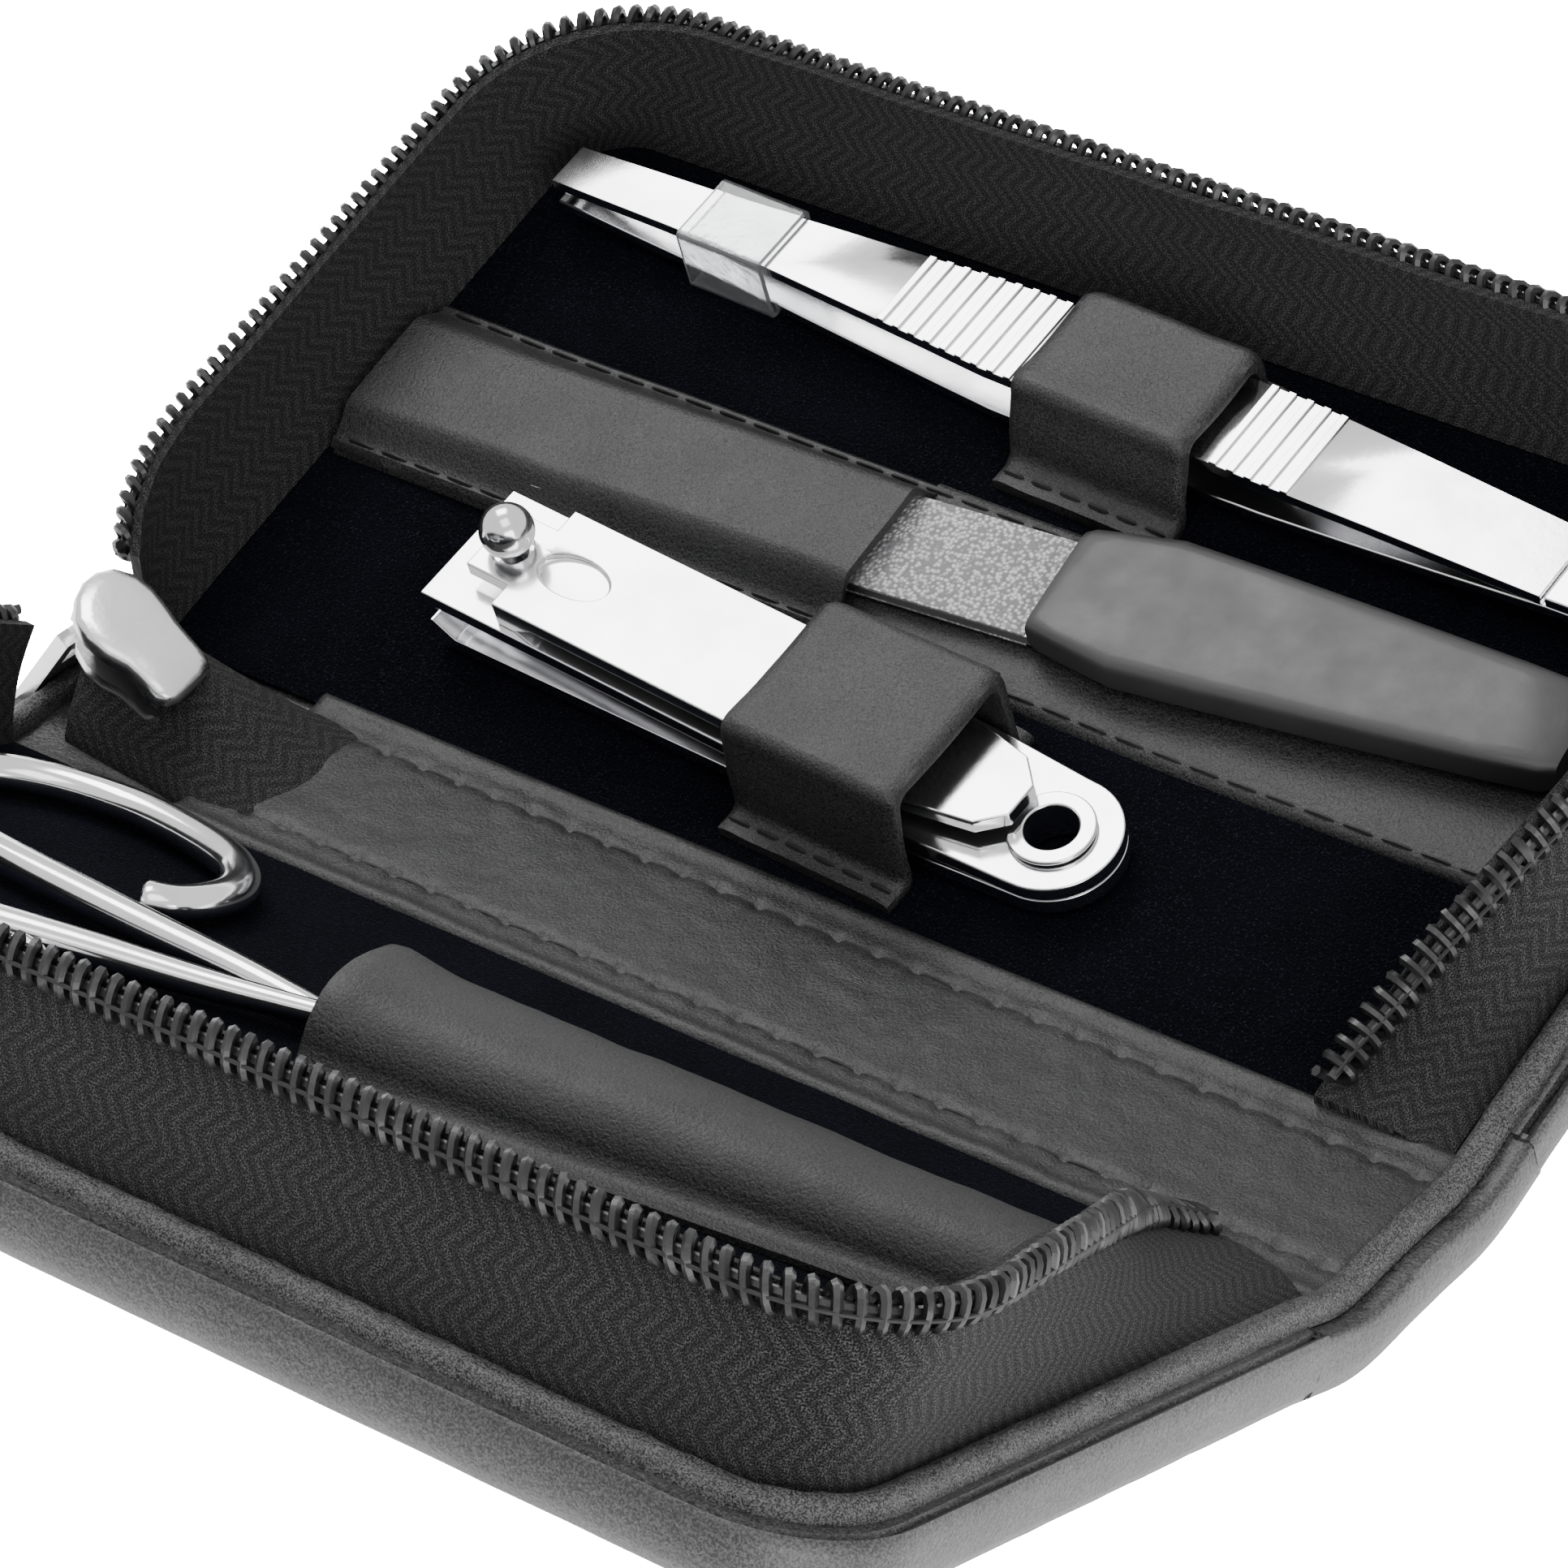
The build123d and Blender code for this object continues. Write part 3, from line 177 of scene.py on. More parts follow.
def mix(a: float, b: float, t: float) -> float:
    """Value between a and b."""
    return a + (b - a) * t


def ripple(x: float, y: float, z: float, scale: float) -> float:
    """Steady noise from -1 to 1, with bumps about 1 / scale across."""
    return noise.noise(Vector((x * scale, y * scale, z * scale)))


@dataclass
class MeshData:
    """Vertices, faces and a map in millimetres, gathered before a mesh is made."""

    verts: list[Vector] = field(default_factory=list)
    faces: list[tuple[int, ...]] = field(default_factory=list)
    uvs: list[list[Point2]] = field(default_factory=list)

    def add(self, other: "MeshData") -> "MeshData":
        """Appends another mesh.

        Args:
            other: The mesh to append.

        Returns:
            This mesh, so that calls can be chained.
        """
        base = len(self.verts)
        self.verts += other.verts
        self.faces += [tuple(i + base for i in f) for f in other.faces]
        self.uvs += other.uvs
        return self

    def moved(self, change: Callable[[Vector], Vector]) -> "MeshData":
        """Passes every vertex through a function and returns this mesh."""
        self.verts = [change(v) for v in self.verts]
        return self


def centre_of(points: Sequence[Vector]) -> Vector:
    """Mean of some points."""
    total = Vector((0, 0, 0))
    for p in points:
        total += p
    return total / len(points)


def sweep(sections: Sequence[Section], ring: bool = True, loop: bool = False,
          caps: bool = True) -> MeshData:
    """Joins sections of equal length into a skin of quads.

    Args:
        sections: The cross-sections, in order.
        ring: Whether each section closes on itself.
        loop: Whether the last section joins the first.
        caps: Whether open ends of a ring get a face.

    Returns:
        The skin, mapped in millimetres along and around.
    """
    count, wide = len(sections), len(sections[0])
    data = MeshData([v for s in sections for v in s])
    runs, arounds = [0.0], [0.0]
    middle = sections[count // 2]
    for i in range(count - 1 + loop):
        gap = centre_of(sections[(i + 1) % count]) - centre_of(sections[i])
        runs.append(runs[-1] + gap.length)
    for j in range(wide - 1 + ring):
        arounds.append(arounds[-1] + (middle[(j + 1) % wide] - middle[j]).length)
    for i in range(count - 1 + loop):
        for j in range(wide - 1 + ring):
            k, m = (i + 1) % count, (j + 1) % wide
            data.faces.append((i * wide + j, i * wide + m, k * wide + m, k * wide + j))
            data.uvs.append([(runs[i], arounds[j]), (runs[i], arounds[j + 1]),
                             (runs[i + 1], arounds[j + 1]), (runs[i + 1], arounds[j])])
    if ring and caps and not loop:
        for start in (0, (count - 1) * wide):
            data.faces.append(tuple(range(start, start + wide)))
            data.uvs.append([(v.x, v.y) for v in data.verts[start:start + wide]])
    return data


def tube(points: Sequence[Vector], radii: Sequence[float], sides: int = 6,
         loop: bool = False, flat: float = 1.0) -> MeshData:
    """Round tube along a line of points.

    Args:
        points: The centre line.
        radii: The radius at each point.
        sides: Number of sides.
        loop: Whether the line closes.
        flat: Thickness across the first normal, as a share of the radius.

    Returns:
        The tube's skin.
    """
    count = len(points)
    sections: list[Section] = []
    normal = Vector((0, 0, 1))
    for i, p in enumerate(points):
        ahead = points[(i + 1) % count] if loop or i < count - 1 else p
        behind = points[i - 1] if loop or i > 0 else p
        along = (ahead - behind).normalized()
        side = along.cross(normal)
        if side.length < 1e-4:
            side = along.cross(Vector((0, 1, 0)))
        side.normalize()
        normal = side.cross(along).normalized()
        ring = []
        for k in range(sides):
            a = 2 * math.pi * k / sides
            ring.append(p + side * math.cos(a) * radii[i] + normal * math.sin(a) * radii[i] * flat)
        sections.append(ring)
    return sweep(sections, loop=loop)


def slab(outline: Sequence[Point2], z0: float, z1: float) -> MeshData:
    """Flat plate with straight sides.

    Args:
        outline: Its plan, a convex or gently hollow loop.
        z0: Height of its underside.
        z1: Height of its top.

    Returns:
        The plate.
    """
    return sweep([[Vector((x, y, z)) for x, y in outline] for z in (z0, z1)])


def capsule(a: Vector, b: Vector, radius: float, lift: Vector) -> MeshData:
    """One stitch: a short arched thread from a to b.

    Args:
        a: First needle hole.
        b: Second needle hole.
        radius: Radius of the thread.
        lift: How far the middle stands off the surface.

    Returns:
        The thread's skin.
    """
    shares = (0.0, 0.12, 0.5, 0.88, 1.0)
    swell = (0.35, 0.9, 1.0, 0.9, 0.35)
    points = [a.lerp(b, t) + lift * (4 * t * (1 - t)) for t in shares]
    return tube(points, [radius * s for s in swell], 6)


def three_sides(x0: float, x1: float, v0: float, v1: float, r: float,
                counts: tuple[int, int, int] = (26, 12, 64)) -> list[tuple[Vector, Vector]]:
    """Path up the left side of a tray, across its far edge and down the right side.

    Args:
        x0: Left side.
        x1: Right side.
        v0: Where the path starts and ends, at the fold.
        v1: Far edge.
        r: Corner radius.
        counts: Points on a side, on a corner and on the far edge.

    Returns:
        Points with their outward normals, both flat.
    """
    sides, arcs, fars = counts
    path: list[tuple[Vector, Vector]] = []
    for i in range(sides):
        path.append((Vector((x0, mix(v0, v1 - r, i / sides), 0)), Vector((-1, 0, 0))))
    for i in range(arcs):
        a = math.radians(180 - 90 * i / arcs)
        n = Vector((math.cos(a), math.sin(a), 0))
        path.append((Vector((x0 + r, v1 - r, 0)) + n * r, n))
    for i in range(fars):
        path.append((Vector((mix(x0 + r, x1 - r, i / fars), v1, 0)), Vector((0, 1, 0))))
    for i in range(arcs):
        a = math.radians(90 - 90 * i / arcs)
        n = Vector((math.cos(a), math.sin(a), 0))
        path.append((Vector((x1 - r, v1 - r, 0)) + n * r, n))
    for i in range(sides + 1):
        path.append((Vector((x1, mix(v1 - r, v0, i / sides), 0)), Vector((1, 0, 0))))
    return path


def full_ring(inset: float, corner: float) -> list[Vector]:
    """Closed outline of a tray's cover, drawn in by inset.

    Args:
        inset: Distance inwards from the leather edge.
        corner: Radius of the outer corners at the leather edge.

    Returns:
        Points in the plane z = 0.
    """
    x, v1 = CASE.half_length - inset, CASE.tray_depth - inset
    v0 = CASE.soft_fold - 0.6 + inset * 0.15
    path = three_sides(-x, x, v0, v1, max(corner - inset, 0.3))
    points = [p for p, _ in path]
    count = 56
    points += [Vector((mix(x, -x, i / count), v0, 0)) for i in range(1, count)]
    return points


def across(x: float, v: float, z: float, soft: float = 1.6) -> Vector:
    """Point on the bent strip that runs over both folds, in the row frame's millimetres.

    Args:
        x: Position along the spine.
        v: Distance from the first fold axis, negative over the spine and beyond it.
        z: Height over the underside.
        soft: Distance from a fold axis over which the strip bends.

    Returns:
        The point.
    """
    point = Vector((x, v, z))
    far = SEATS[Place.FAR].matrix @ point
    mid = SEATS[Place.SPINE].matrix @ point
    near = SEATS[Place.NEAR].matrix @ Vector((x, -(v + CASE.spine_width), z))
    if v > -CASE.spine_width / 2:
        return far.lerp(mid, ease((soft - v) / (2 * soft)))
    return mid.lerp(near, ease((soft - (v + CASE.spine_width)) / (2 * soft)))


# ----------------------------------------------------------------------------- node tools
class Nodes:
    """Short calls for building one node tree."""

    def __init__(self, tree: bpy.types.NodeTree) -> None:
        """Starts on a tree.

        Args:
            tree: The material's or group's node tree.
        """
        self.tree = tree

    def node(self, kind: str, **values: object) -> bpy.types.Node:
        """Adds a node and sets its properties.

        Args:
            kind: The node's type name.
            values: Properties to set on it.

        Returns:
            The node.
        """
        made = self.tree.nodes.new(kind)
        for key, value in values.items():
            setattr(made, key, value)
        return made

    def link(self, a: bpy.types.NodeSocket, b: bpy.types.NodeSocket) -> None:
        """Links an output to an input."""
        self.tree.links.new(a, b)

    def math(self, operation: str, a: object, b: object = None) -> bpy.types.NodeSocket:
        """Adds a Math node.

        Args:
            operation: Its operation.
            a: First value, a number or a socket.
            b: Second value, a number or a socket.

        Returns:
            Its output.
        """
        made = self.node("ShaderNodeMath", operation=operation)
        for index, value in enumerate((a, b)):
            if isinstance(value, bpy.types.NodeSocket):
                self.link(value, made.inputs[index])
            elif value is not None:
                made.inputs[index].default_value = value
        return made.outputs[0]

    def noise(self, vector: bpy.types.NodeSocket, scale: object, detail: float = 2.0,
              rough: float = 0.5) -> bpy.types.NodeSocket:
        """Adds a noise texture and returns its factor.

        Args:
            vector: Coordinates.
            scale: Scale, a number or a socket.
            detail: Octaves.
            rough: Roughness of the octaves.

        Returns:
            The factor output.
        """
        made = self.node("ShaderNodeTexNoise")
        self.link(vector, made.inputs["Vector"])
        if isinstance(scale, bpy.types.NodeSocket):
            self.link(scale, made.inputs["Scale"])
        else:
            made.inputs["Scale"].default_value = scale
        made.inputs["Detail"].default_value = detail
        made.inputs["Roughness"].default_value = rough
        return made.outputs["Fac"]

    def spread(self, value: bpy.types.NodeSocket, low: float, high: float,
               to_low: float = 0.0, to_high: float = 1.0) -> bpy.types.NodeSocket:
        """Maps a range onto another, clamped.

        Args:
            value: The input.
            low: Start of the input range.
            high: End of the input range.
            to_low: Start of the output range.
            to_high: End of the output range.

        Returns:
            The mapped value.
        """
        made = self.node("ShaderNodeMapRange")
        self.link(value, made.inputs["Value"])
        for name, number in (("From Min", low), ("From Max", high), ("To Min", to_low),
                             ("To Max", to_high)):
            made.inputs[name].default_value = number
        return made.outputs["Result"]

    def blend_colour(self, factor: bpy.types.NodeSocket, a: Sequence[float],
                     b: Sequence[float]) -> bpy.types.NodeSocket:
        """Mixes two fixed colours by a factor that changes over the surface.

        Args:
            factor: The factor.
            a: Colour at 0.
            b: Colour at 1.

        Returns:
            The colour output.
        """
        made = self.node("ShaderNodeMix", data_type="RGBA")
        self.link(factor, made.inputs["Factor"])
        made.inputs["A"].default_value = (*a, 1)
        made.inputs["B"].default_value = (*b, 1)
        return made.outputs["Result"]


def new_group(name: str, inputs: Iterable[tuple[str, str, object]],
              outputs: Iterable[tuple[str, str]]) -> tuple[bpy.types.NodeTree, Nodes,
                                                           bpy.types.Node, bpy.types.Node]:
    """Starts a shader node group.

    Args:
        name: Its name.
        inputs: Name, socket type and default of each input.
        outputs: Name and socket type of each output.

    Returns:
        The tree, its builder, and its input and output nodes.
    """
    tree = bpy.data.node_groups.new(name, "ShaderNodeTree")
    for label, kind, default in inputs:
        socket = tree.interface.new_socket(name=label, in_out="INPUT", socket_type=kind)
        if default is not None:
            socket.default_value = default
    for label, kind in outputs:
        tree.interface.new_socket(name=label, in_out="OUTPUT", socket_type=kind)
    build = Nodes(tree)
    return tree, build, build.node("NodeGroupInput"), build.node("NodeGroupOutput")


class Effects:
    """The shader groups that several finishes share, built once."""

    def __init__(self) -> None:
        """Builds every group."""
        self.grain = self._grain()
        self.twill = self._twill()
        self.pile = self._pile()
        self.wear = self._wear()

    @staticmethod
    def _grain() -> bpy.types.NodeTree:
        """Pebbled leather grain with soft wrinkles."""
        tree, n, start, end = new_group(
            "leather_grain",
            [("Vector", "NodeSocketVector", None), ("Scale", "NodeSocketFloat", 1000.0),
             ("Wrinkle Scale", "NodeSocketFloat", 150.0)],
            [("Height", "NodeSocketFloat"), ("Crease", "NodeSocketFloat")])
        cells = n.node("ShaderNodeTexVoronoi", feature="DISTANCE_TO_EDGE")
        bend = n.node("ShaderNodeVectorMath", operation="ADD")
        wobble = n.node("ShaderNodeTexNoise")
        shrink = n.node("ShaderNodeVectorMath", operation="SCALE")
        n.link(start.outputs["Vector"], wobble.inputs["Vector"])
        n.link(start.outputs["Scale"], wobble.inputs["Scale"])
        n.link(wobble.outputs["Color"], shrink.inputs[0])
        shrink.inputs["Scale"].default_value = 0.0006
        n.link(start.outputs["Vector"], bend.inputs[0])
        n.link(shrink.outputs["Vector"], bend.inputs[1])
        n.link(bend.outputs["Vector"], cells.inputs["Vector"])
        n.link(start.outputs["Scale"], cells.inputs["Scale"])
        pebble = n.spread(cells.outputs["Distance"], 0.0, 0.25)
        fine = n.noise(start.outputs["Vector"], n.math("MULTIPLY", start.outputs["Scale"], 2.6),
                       3.0, 0.6)
        fold = n.noise(start.outputs["Vector"], start.outputs["Wrinkle Scale"], 3.0, 0.55)
        part = n.math("ADD", n.math("MULTIPLY", pebble, 0.16), n.math("MULTIPLY", fine, 0.6))
        n.link(n.math("ADD", part, n.math("MULTIPLY", fold, 0.9)), end.inputs["Height"])
        speck = n.noise(start.outputs["Vector"], n.math("MULTIPLY", start.outputs["Scale"], 5.0),
                        1.0, 0.5)
        n.link(n.spread(n.math("ADD", speck, n.math("MULTIPLY", pebble, -0.05)), 0.36, 0.62),
               end.inputs["Crease"])
        return tree

    @staticmethod
    def _twill() -> bpy.types.NodeTree:
        """Herringbone twill on a map in millimetres, with a mask of painted highlights on the
        threads' tops.
        """
        tree, n, start, end = new_group(
            "twill_weave",
            [("Vector", "NodeSocketVector", None), ("Pitch", "NodeSocketFloat", 0.75),
             ("Band", "NodeSocketFloat", 2.6)],
            [("Height", "NodeSocketFloat"), ("Thread Highlight", "NodeSocketFloat")])
        parts = n.node("ShaderNodeSeparateXYZ")
        n.link(start.outputs["Vector"], parts.inputs[0])
        along, up = parts.outputs["X"], parts.outputs["Y"]
        zig = n.math("PINGPONG", up, start.outputs["Band"])
        slope = n.math("ADD", along, n.math("MULTIPLY", zig, 0.85))
        wave = n.math("SINE", n.math("MULTIPLY", n.math("DIVIDE", slope, start.outputs["Pitch"]),
                                     2 * math.pi))
        cross = n.math("SINE", n.math("MULTIPLY", n.math("DIVIDE", up, start.outputs["Pitch"]),
                                      3.4 * math.pi))
        joined = n.math("MULTIPLY", n.math("ADD", wave, 1.0), 0.5)
        woven = n.math("ADD", n.math("MULTIPLY", joined, 0.7), n.math("MULTIPLY", cross, 0.18))
        fuzz = n.noise(start.outputs["Vector"], 4.5, 3.0, 0.75)
        speck = n.spread(n.noise(start.outputs["Vector"], 9.0, 1.0, 0.5), 0.42, 0.66)
        n.link(n.math("ADD", n.math("MULTIPLY", woven, 0.35), n.math("MULTIPLY", fuzz, 1.3)),
               end.inputs["Height"])
        # Painted highlight: speckled light on the crests of the threads, as a colour mask for the
        # tape.
        painted_thread_highlight = n.math("MULTIPLY", speck, n.math("ADD", n.math("MULTIPLY", joined, 0.4), 0.45))
        n.link(painted_thread_highlight, end.inputs["Thread Highlight"])
        return tree

    @staticmethod
    def _pile() -> bpy.types.NodeTree:
        """Short velvet pile: fine fuzz, and a colour mask of painted sheen on brushed patches with
        painted glints on single fibres.
        """
        tree, n, start, end = new_group(
            "velvet_pile",
            [("Vector", "NodeSocketVector", None), ("Scale", "NodeSocketFloat", 4000.0)],
            [("Height", "NodeSocketFloat"), ("Brushed Sheen And Glints", "NodeSocketFloat")])
        fuzz = n.noise(start.outputs["Vector"], start.outputs["Scale"], 2.0, 0.7)
        patch = n.noise(start.outputs["Vector"], 90.0, 3.0, 0.6)
        n.link(fuzz, end.inputs["Height"])
        # Painted glints: fine bright specks where single fibres would catch the light.
        spark = n.spread(n.noise(start.outputs["Vector"], 6500.0, 1.0, 0.5), 0.6, 0.74)
        # Painted sheen: brushed patches lightened as if catching the light, plus the glints.
        n.link(n.math("ADD", n.math("MULTIPLY", n.spread(patch, 0.35, 0.7),
                                    n.math("MULTIPLY", fuzz, 0.25)), spark),
               end.inputs["Brushed Sheen And Glints"])
        return tree

    @staticmethod
    def _wear() -> bpy.types.NodeTree:
        """Cloudy wear and fine specks, for metal and plastic."""
        tree, n, start, end = new_group(
            "handling_wear",
            [("Vector", "NodeSocketVector", None), ("Scale", "NodeSocketFloat", 300.0)],
            [("Cloud", "NodeSocketFloat"), ("Fine", "NodeSocketFloat")])
        n.link(n.noise(start.outputs["Vector"], start.outputs["Scale"], 4.0, 0.6),
               end.inputs["Cloud"])
        fine = n.noise(start.outputs["Vector"], n.math("MULTIPLY", start.outputs["Scale"], 12.0),
                       2.0, 0.6)
        n.link(fine, end.inputs["Fine"])
        return tree


def place_group(n: Nodes, tree: bpy.types.NodeTree, vector: bpy.types.NodeSocket,
                **values: float) -> bpy.types.Node:
    """Puts a group into a material.

    Args:
        n: The material's builder.
        tree: The group.
        vector: Coordinates for it.
        values: Its other inputs, with spaces written as underscores.

    Returns:
        The group node.
    """
    made = n.node("ShaderNodeGroup", node_tree=tree)
    n.link(vector, made.inputs["Vector"])
    for key, value in values.items():
        made.inputs[key.replace("_", " ")].default_value = value
    return made


# ----------------------------------------------------------------------------- finishes
@dataclass(frozen=True)
class Finish:
    """Base of all finishes: a name and a material made once."""

    name: str

    def build(self, n: Nodes, shader: bpy.types.Node, effects: Effects) -> None:
        """Dresses the shader. Each kind of finish has its own."""
        raise NotImplementedError

    def bump(self, n: Nodes, shader: bpy.types.Node, height: bpy.types.NodeSocket,
             depth: float) -> None:
        """Feeds a height into the shader's normal.

        Args:
            n: The material's builder.
            shader: The Principled node.
            height: The height.
            depth: Depth in metres of a height of one.
        """
        made = n.node("ShaderNodeBump")
        made.inputs["Distance"].default_value = depth
        made.inputs["Strength"].default_value = 1.0
        n.link(height, made.inputs["Height"])
        n.link(made.outputs["Normal"], shader.inputs["Normal"])

    def tint(self, n: Nodes, shader: bpy.types.Node, factor: bpy.types.NodeSocket,
             a: Sequence[float], b: Sequence[float]) -> None:
        """Colours the shader from a to b by a factor that changes over the surface.

        Args:
            n: The material's builder.
            shader: The Principled node.
            factor: The factor.
            a: Colour at 0.
            b: Colour at 1.
        """
        n.link(n.blend_colour(factor, a, b), shader.inputs["Base Color"])

    def material(self, effects: Effects) -> bpy.types.Material:
        """Makes the material, or returns the one already made.

        Args:
            effects: The shared shader groups.

        Returns:
            The material.
        """
        label = self.name + "_finish"
        found = bpy.data.materials.get(label)
        if found:
            return found
        made = bpy.data.materials.new(label)
        made.use_nodes = True
        shader = made.node_tree.nodes["Principled BSDF"]
        self.build(Nodes(made.node_tree), shader, effects)
        return made


def solid_coords(n: Nodes) -> bpy.types.NodeSocket:
    """Coordinates in metres that stay with the piece."""
    return n.node("ShaderNodeTexCoord").outputs["Object"]


def map_coords(n: Nodes) -> bpy.types.NodeSocket:
    """The piece's own map, in millimetres."""
    return n.node("ShaderNodeTexCoord").outputs["UV"]


@dataclass(frozen=True)
class Leather(Finish):
    """Black leather with a printed grain."""

    dark: tuple[float, float, float] = (0.003, 0.003, 0.0032)
    light: tuple[float, float, float] = (0.014, 0.014, 0.0145)
    roughness: float = 0.5
    grain: float = 1500.0
    wrinkle: float = 130.0
    depth: float = 0.00012
    coat: float = 0.05
    shine: float = 0.4

    def build(self, n: Nodes, shader: bpy.types.Node, effects: Effects) -> None:
        """Grain in the normal, creases in the colour, a thin dressing on top."""
        group = place_group(n, effects.grain, solid_coords(n), Scale=self.grain,
                            Wrinkle_Scale=self.wrinkle)
        self.tint(n, shader, group.outputs["Crease"], self.dark, self.light)
        shader.inputs["Specular IOR Level"].default_value = self.shine
        n.link(n.spread(group.outputs["Height"], 0.2, 1.2, self.roughness + 0.12,
                        self.roughness - 0.08),
               shader.inputs["Roughness"])
        shader.inputs["Coat Weight"].default_value = self.coat
        shader.inputs["Coat Roughness"].default_value = 0.35
        self.bump(n, shader, group.outputs["Height"], self.depth)


@dataclass(frozen=True)
class Velvet(Finish):
    """Bluish-black short-pile velvet."""

    dark: tuple[float, float, float] = (0.001, 0.0011, 0.002)
    # light: colour of the painted sheen and glints on the pile; dark is the velvet's own black.
    light: tuple[float, float, float] = (0.02, 0.02, 0.036)

    def build(self, n: Nodes, shader: bpy.types.Node, effects: Effects) -> None:
        """Fuzz in the normal, painted sheen on brushed patches and painted glints in the colour, and
        a soft shader sheen.
        """
        group = place_group(n, effects.pile, solid_coords(n))
        # The colour carries painted sheen and glints: brushed patches and specks are lightened.
        self.tint(n, shader, group.outputs["Brushed Sheen And Glints"], self.dark, self.light)
        shader.inputs["Roughness"].default_value = 0.95
        shader.inputs["Specular IOR Level"].default_value = 0.04
        shader.inputs["Sheen Weight"].default_value = 0.03
        shader.inputs["Sheen Roughness"].default_value = 0.45
        shader.inputs["Sheen Tint"].default_value = (0.55, 0.6, 0.85, 1)
        self.bump(n, shader, group.outputs["Height"], 0.0004)


@dataclass(frozen=True)
class Twill(Finish):
    """Woven zip tape."""

    dark: tuple[float, float, float] = (0.002, 0.002, 0.0022)
    # light: colour of the painted highlights on the threads' tops; dark is the tape's own black.
    light: tuple[float, float, float] = (0.13, 0.13, 0.131)
    pitch: float = 1.25
    band: float = 1.9
    depth: float = 0.0003

    def build(self, n: Nodes, shader: bpy.types.Node, effects: Effects) -> None:
        """Twill in the normal, and painted highlights on the threads' tops in the colour."""
        group = place_group(n, effects.twill, map_coords(n), Pitch=self.pitch, Band=self.band)
        # Painted highlight: the tape's colour goes from dark to light on the threads' crests.
        lit = n.spread(group.outputs["Thread Highlight"], 0.05, 0.8)
        self.tint(n, shader, lit, self.dark, self.light)
        shader.inputs["Roughness"].default_value = 0.7
        shader.inputs["Specular IOR Level"].default_value = 0.2
        shader.inputs["Sheen Weight"].default_value = 0.02
        self.bump(n, shader, group.outputs["Height"], self.depth)


@dataclass(frozen=True)
class Nylon(Finish):
    """Shiny nylon monofilament or twisted thread."""

    colour: tuple[float, float, float] = (0.006, 0.006, 0.0065)
    roughness: float = 0.3
    coat: float = 0.2

    def build(self, n: Nodes, shader: bpy.types.Node, effects: Effects) -> None:
        """Slightly uneven gloss."""
        group = place_group(n, effects.wear, solid_coords(n), Scale=900.0)
        lighter = tuple(c * 2.0 for c in self.colour)
        self.tint(n, shader, group.outputs["Cloud"], self.colour, lighter)
        n.link(n.spread(group.outputs["Fine"], 0.3, 0.7, self.roughness, self.roughness + 0.15),
               shader.inputs["Roughness"])
        shader.inputs["Coat Weight"].default_value = self.coat
        self.bump(n, shader, group.outputs["Fine"], 0.00003)


@dataclass(frozen=True)
class Metal(Finish):
    """Plated or brushed metal."""

    colour: tuple[float, float, float] = (0.86, 0.86, 0.87)
    dull: tuple[float, float, float] = (0.7, 0.7, 0.71)
    roughness: float = 0.1
    depth: float = 0.000004

    def build(self, n: Nodes, shader: bpy.types.Node, effects: Effects) -> None:
        """Cloudy handling wear in colour, roughness and normal."""
        group = place_group(n, effects.wear, solid_coords(n), Scale=120.0)
        self.tint(n, shader, n.spread(group.outputs["Cloud"], 0.45, 0.75), self.colour, self.dull)
        n.link(n.spread(group.outputs["Cloud"], 0.3, 0.8, self.roughness, self.roughness + 0.12),
               shader.inputs["Roughness"])
        shader.inputs["Metallic"].default_value = 1.0
        self.bump(n, shader, group.outputs["Fine"], self.depth)


@dataclass(frozen=True)
class Grit(Finish):
    """Fine bonded grit."""

    dark: tuple[float, float, float] = (0.32, 0.32, 0.33)
    light: tuple[float, float, float] = (0.9, 0.9, 0.9)

    def build(self, n: Nodes, shader: bpy.types.Node, effects: Effects) -> None:
        """Sharp specks in colour, gloss and normal."""
        cells = n.node("ShaderNodeTexVoronoi", feature="F1")
        n.link(solid_coords(n), cells.inputs["Vector"])
        cells.inputs["Scale"].default_value = 3000.0
        lit = n.spread(cells.outputs["Distance"], 0.1, 0.65, 1.0, 0.0)
        self.tint(n, shader, lit, self.dark, self.light)
        n.link(n.spread(cells.outputs["Distance"], 0.0, 0.6, 0.3, 0.8), shader.inputs["Roughness"])
        shader.inputs["Metallic"].default_value = 0.35
        self.bump(n, shader, cells.outputs["Distance"], 0.00015)


@dataclass(frozen=True)
class Plastic(Finish):
    """Moulded plastic."""

    colour: tuple[float, float, float] = (0.028, 0.028, 0.029)
    roughness: float = 0.45
    coat: float = 0.12
    depth: float = 0.00001

    def build(self, n: Nodes, shader: bpy.types.Node, effects: Effects) -> None:
        """A fine spark texture with a trace of handling."""
        group = place_group(n, effects.wear, solid_coords(n), Scale=250.0)
        lighter = tuple(c * 1.35 for c in self.colour)
        self.tint(n, shader, group.outputs["Cloud"], self.colour, lighter)
        n.link(n.spread(group.outputs["Cloud"], 0.3, 0.7, self.roughness - 0.05,
                        self.roughness + 0.1),
               shader.inputs["Roughness"])
        shader.inputs["Coat Weight"].default_value = self.coat
        shader.inputs["Coat Roughness"].default_value = 0.12
        self.bump(n, shader, group.outputs["Fine"], self.depth)


